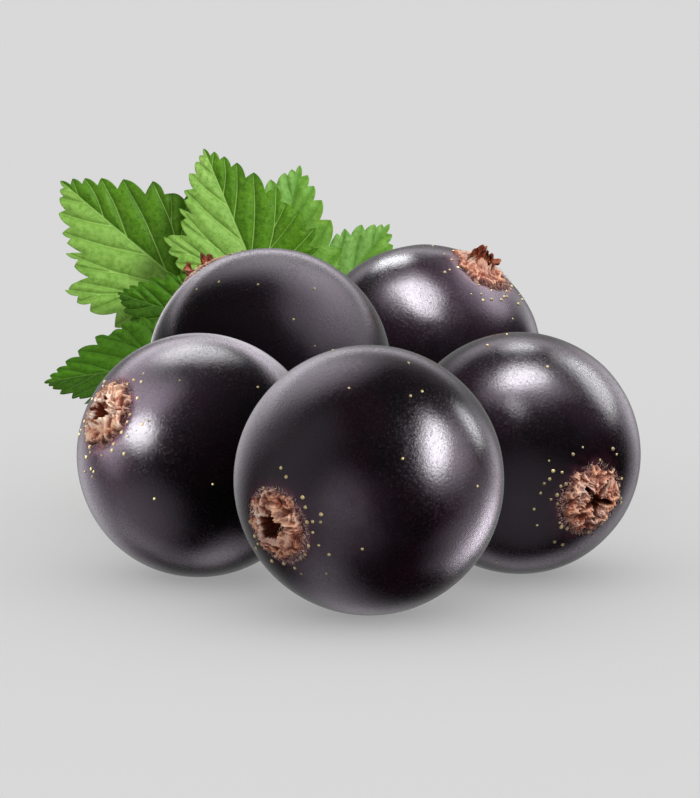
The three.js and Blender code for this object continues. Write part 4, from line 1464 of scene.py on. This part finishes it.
def add_cut_face(shell, centre, way):
    """The slanting cut, slightly proud of the bark's end."""
    rings, proud = CUT_FACE["rings"], CUT_FACE["proud"]
    reach = CUT_FACE["share"] * SPUR_RADII[0]
    ways = square_ways(way)
    points, ring_values = [centre + proud * way], [0.0]
    for ring in range(1, rings + 1):
        share = ring / rings
        for angle in turns(SPUR_SIDES):
            out = spoke(angle, ways)
            ridge = 0.015 * math.sin(9 * out.x + 6 * share)
            points.append(centre + reach * share * out + (proud - 0.02 * share + ridge * (1 - share)) * way)
            ring_values.append(smoothstep(0.78, 0.9, share) + (0.5 if share < 0.2 else 0.0))
    points.append(centre - CUT_FACE["root"] * way)
    ring_values.append(1.0)
    for point in points:
        point.z = max(point.z, 0.01)
    shell.add(points, ring_faces(rings, SPUR_SIDES), material=1, ring=ring_values)


def add_bud_scales(shell):
    """Dry brown scales round the bases of the leaf stalks."""
    draw = random.Random(41)
    for scale, angle in enumerate(turns(BUD["scales"])):
        out = level_way(angle + draw.uniform(-0.2, 0.2))
        root = Vector(BUD["at"]) + Vector((1.0 * out.x, 0.85 * out.y, -0.2))
        line = [root + away * out + Vector((0, 0, up)) for away, up in SCALE_STOPS]
        shell.add(*tube(smooth_line(line, 4), BUD["radii"], sides=8, roughness=0.3, seed=scale))


# Operators --------------------------------------------------------------------------------------
class SPRIG_OT_berries(bpy.types.Operator):
    """Make the five berries and their resin glands"""

    bl_idname = "sprig.berries"
    bl_label = "Berries"

    def execute(self, context):
        settings = context.scene.sprig_berries
        skin = skin_material(settings)
        gland = gland_material(settings)
        for seed, (name, spec) in enumerate(BERRIES.items()):
            piece = berry_shell(spec, settings).piece(f"skin_{name}", [skin], "skin", [f"berry_{name}"])
            piece.visible_glossy = False
            gland_shell(spec, settings, seed).piece(f"glands_{name}", [gland], "skin")
        return {"FINISHED"}


class SPRIG_OT_calyxes(bpy.types.Operator):
    """Make the dried flower of each berry, with its hairs"""

    bl_idname = "sprig.calyxes"
    bl_label = "Calyxes"

    def execute(self, context):
        settings = context.scene.sprig_calyxes
        dry = calyx_material(settings)
        hair = hair_material(settings)
        for seed, name in enumerate(CALYXES, start=1):
            calyx_shell(name, settings, seed).piece(f"sepals_{name}", [dry], "calyx", [f"calyx_{name}"])
            hair_shell(name, settings, seed).piece(f"hairs_{name}", [hair], "calyx")
        return {"FINISHED"}


class SPRIG_OT_leaves(bpy.types.Operator):
    """Make the six leaves, each with its stalk"""

    bl_idname = "sprig.leaves"
    bl_label = "Leaves"

    def execute(self, context):
        settings = context.scene.sprig_leaves
        stalks = context.scene.sprig_stalks
        flat = blade_triangles(settings.spacing)
        veins = vein_values(flat[0])
        looks = {look: leaf_material(look, settings) for look in ("fresh", "pale", "deep")}
        petiole = stalk_material("leaf_stalk", stalks.petiole, stalks.blush, 500)
        for seed, (name, spec) in enumerate(LEAVES.items(), start=1):
            shell = leaf_shell(name, settings, flat, veins, seed)
            piece = shell.piece(f"blade_{name}", [looks[spec["look"]], petiole], "leaf", [f"leaf_{name}"])
            piece.visible_glossy = False
        return {"FINISHED"}


class SPRIG_OT_strig(bpy.types.Operator):
    """Make the strig with its pedicels and bracts"""

    bl_idname = "sprig.strig"
    bl_label = "Strig"

    def execute(self, context):
        stalks = context.scene.sprig_stalks
        green = stalk_material("green_stalk", stalks.green, stalks.blush, 420)
        strig_shell().piece("stalks_of_berries", [green], "strig", ["strig"])
        return {"FINISHED"}


class SPRIG_OT_spur(bpy.types.Operator):
    """Make the woody spur with its cut face and bud scales"""

    bl_idname = "sprig.spur"
    bl_label = "Spur"

    def execute(self, context):
        stalks = context.scene.sprig_stalks
        spur_shell().piece("woody_spur", [bark_material(stalks), wood_material(stalks)], "bark", ["spur"])
        return {"FINISHED"}


# Stage ------------------------------------------------------------------------------------------
def add_floor(settings):
    """A square floor just under the sprig, pale and faintly lit from below."""
    half = settings.floor_size / 2
    mesh = bpy.data.meshes.new("floor")
    corners = [(x, y, -FLOOR_DROP) for x, y in ((-half, -half), (half, -half), (half, half), (-half, half))]
    mesh.from_pydata(corners, [], [(0, 1, 2, 3)])
    material, _, shader = material_of("pale_floor", Roughness=0.95, Specular_IOR_Level=0.1)
    feed(shader.inputs["Base Color"], settings.floor)
    feed(shader.inputs["Emission Color"], (settings.glow,) * 3)
    feed(shader.inputs["Emission Strength"], 1)
    mesh.materials.append(material)
    floor = placed("floor", mesh)
    floor.visible_glossy = False


def add_world(settings):
    """A pale backdrop, even light on every surface, and a dimmer surround for reflections."""
    world = bpy.data.worlds.new("studio")
    world.use_nodes = True
    world.node_tree.nodes.clear()
    add = nodes_of(world.node_tree)
    ray = add("ShaderNodeLightPath").outputs
    around = add("ShaderNodeTexCoord").outputs["Generated"]
    parts = add("ShaderNodeSeparateXYZ", Vector=around).outputs
    upper = math_node(add, "MULTIPLY", ramp(add, parts["Z"], 0.15, 0.85), 0.05)
    behind = math_node(add, "MULTIPLY", ramp(add, parts["Y"], 0.4, 0.95), 0.3)
    level = math_node(add, "ADD", math_node(add, "ADD", upper, behind), 0.015)
    glossy = add("ShaderNodeCombineXYZ", X=level, Y=level, Z=level).outputs[0]
    even = mix_colour(add, ray["Is Glossy Ray"], (settings.ambient,) * 3, glossy)
    seen = mix_colour(add, ray["Is Camera Ray"], even, settings.backdrop)
    background = add("ShaderNodeBackground", Color=seen, Strength=1.0).outputs[0]
    add("ShaderNodeOutputWorld", Surface=background)
    bpy.context.scene.world = world


def mirrored(spot):
    """The direction that a spot of a round berry mirrors towards the camera."""
    right, up = spot
    near = math.sqrt(1 - right * right - up * up)
    return 2 * near * right * RIGHT + 2 * near * up * UP + (2 * near * near - 1) * BACK


def soften(light, core, seed):
    """Fade a softbox towards a ragged edge, from a core with a share of its width."""
    light.use_nodes = True
    add = nodes_of(light.node_tree)
    across = add("ShaderNodeNewGeometry").outputs["Parametric"]
    centred = add("ShaderNodeVectorMath", {"operation": "SUBTRACT"}, i0=across, i1=(0.5, 0.5, 0))
    far = add("ShaderNodeVectorMath", {"operation": "LENGTH"}, i0=centred.outputs[0]).outputs["Value"]
    place = add("ShaderNodeVectorMath", {"operation": "ADD"}, i0=across, i1=(seed, 2 * seed, 0))
    patchy = add("ShaderNodeTexNoise", Vector=place.outputs[0], Scale=RAGGED["scale"], Detail=2.0)
    uneven = math_node(add, "SUBTRACT", patchy.outputs["Fac"], 0.5)
    ragged = math_node(add, "MULTIPLY", uneven, RAGGED["depth"])
    reach = math_node(add, "ADD", math_node(add, "MULTIPLY", far, 2), ragged)
    emission = next(node for node in light.node_tree.nodes if node.type == "EMISSION")
    feed(emission.inputs["Color"], map_range(add, reach, core, 1, 1, 0))


def add_softbox(name, middle, direction, size, roll, radiance, lit):
    """An oval area light, in millimetres, that only the lit pieces receive and only they can shade."""
    light = bpy.data.lights.new(name, "AREA")
    light.shape = "ELLIPSE"
    light.size, light.size_y = (side * MM for side in size)
    light.energy = radiance * math.pi * (math.pi / 4 * light.size * light.size_y)
    bright = radiance > KEY_RADIANCE
    light.color = KEY_COLOUR if bright else FILL_COLOUR
    soften(light, CORE if bright else 0, sum(map(ord, name)) % 97)
    lamp = placed(name, light)
    turn = direction.to_track_quat("Z", "Y").to_matrix().to_4x4()
    lamp.matrix_world = Matrix.Translation(drawn(middle)) @ turn @ Matrix.Rotation(math.radians(roll), 4, "Z")
    lamp.visible_camera = False
    group = bpy.data.collections.new(f"lit_by_{name}")
    for piece in lit:
        group.objects.link(piece)
    lamp.light_linking.receiver_collection = group
    lamp.light_linking.blocker_collection = group


def add_lights(settings):
    """The softboxes of each berry, and the one that lights the leaves, stalks and calyxes."""
    for berry, boxes in SOFTBOXES.items():
        lit = [bpy.data.objects[f"{part}_{berry}"] for part in ("skin", "glands")]
        for name, spot, wide, high, roll, radiance in boxes:
            direction = mirrored(spot)
            middle = berry_centre(BERRIES[berry]) + BOX_DISTANCE * direction
            size = [2 * BOX_DISTANCE * math.tan(math.radians(angle) / 2) for angle in (wide, high)]
            add_softbox(f"{berry}_{name}", middle, direction, size, roll, radiance, lit)
    lit = [o for o in bpy.data.objects if o.name.startswith(LEAF_KEY["lights"])]
    right, up, near = LEAF_KEY["direction"]
    direction = (right * RIGHT + up * UP + near * BACK).normalized()
    middle = Vector(LEAF_KEY["aim"]) + LEAF_KEY["distance"] * direction
    add_softbox("leaf_key", middle, direction, (LEAF_KEY["size"],) * 2, 0, settings.key, lit)


def add_camera():
    """The camera, level with the horizon apart from its pitch."""
    camera = bpy.data.cameras.new("camera")
    camera.sensor_width = SENSOR
    camera.lens = FOCAL_PIXELS / PICTURE_HEIGHT * SENSOR
    camera.clip_start, camera.clip_end = CAMERA_SEES
    eye = placed("camera", camera)
    eye.matrix_world = Matrix.Translation(drawn(CAMERA_AT)) @ Matrix((RIGHT, UP, BACK)).transposed().to_4x4()
    bpy.context.scene.camera = eye


class SPRIG_OT_stage(bpy.types.Operator):
    """Make the pale floor, the backdrop, the lights and the camera"""

    bl_idname = "sprig.stage"
    bl_label = "Stage"

    def execute(self, context):
        settings = context.scene.sprig_stage
        context.scene.view_settings.view_transform = "Standard"
        add_floor(settings)
        add_world(settings)
        add_lights(settings)
        add_camera()
        return {"FINISHED"}


class SPRIG_PT_panel(bpy.types.Panel):
    """The sprig's pieces and their settings"""

    bl_idname = "SPRIG_PT_panel"
    bl_label = "Blackcurrant Sprig"
    bl_space_type = "VIEW_3D"
    bl_region_type = "UI"
    bl_category = "Sprig"

    def draw(self, context):
        for operator, settings_name in STEPS:
            box = self.layout.box()
            box.operator(operator.bl_idname)
            settings = getattr(context.scene, settings_name)
            for key in settings.__annotations__:
                box.prop(settings, key)


SETTINGS = {
    "sprig_berries": SPRIG_PG_berries,
    "sprig_calyxes": SPRIG_PG_calyxes,
    "sprig_leaves": SPRIG_PG_leaves,
    "sprig_stalks": SPRIG_PG_stalks,
    "sprig_stage": SPRIG_PG_stage,
}
STEPS = (
    (SPRIG_OT_berries, "sprig_berries"),
    (SPRIG_OT_calyxes, "sprig_calyxes"),
    (SPRIG_OT_leaves, "sprig_leaves"),
    (SPRIG_OT_strig, "sprig_stalks"),
    (SPRIG_OT_spur, "sprig_stalks"),
    (SPRIG_OT_stage, "sprig_stage"),
)


def register():
    for name, group in SETTINGS.items():
        bpy.utils.register_class(group)
        setattr(bpy.types.Scene, name, PointerProperty(type=group))
    for operator, _ in STEPS:
        bpy.utils.register_class(operator)
    bpy.utils.register_class(SPRIG_PT_panel)


def unregister():
    bpy.utils.unregister_class(SPRIG_PT_panel)
    for operator, _ in reversed(STEPS):
        bpy.utils.unregister_class(operator)
    for name, group in SETTINGS.items():
        delattr(bpy.types.Scene, name)
        bpy.utils.unregister_class(group)


def main():
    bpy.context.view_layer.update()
    register()
    for operator, _ in STEPS:
        group, name = operator.bl_idname.split(".")
        getattr(getattr(bpy.ops, group), name)()


if __name__ == "__main__":
    main()
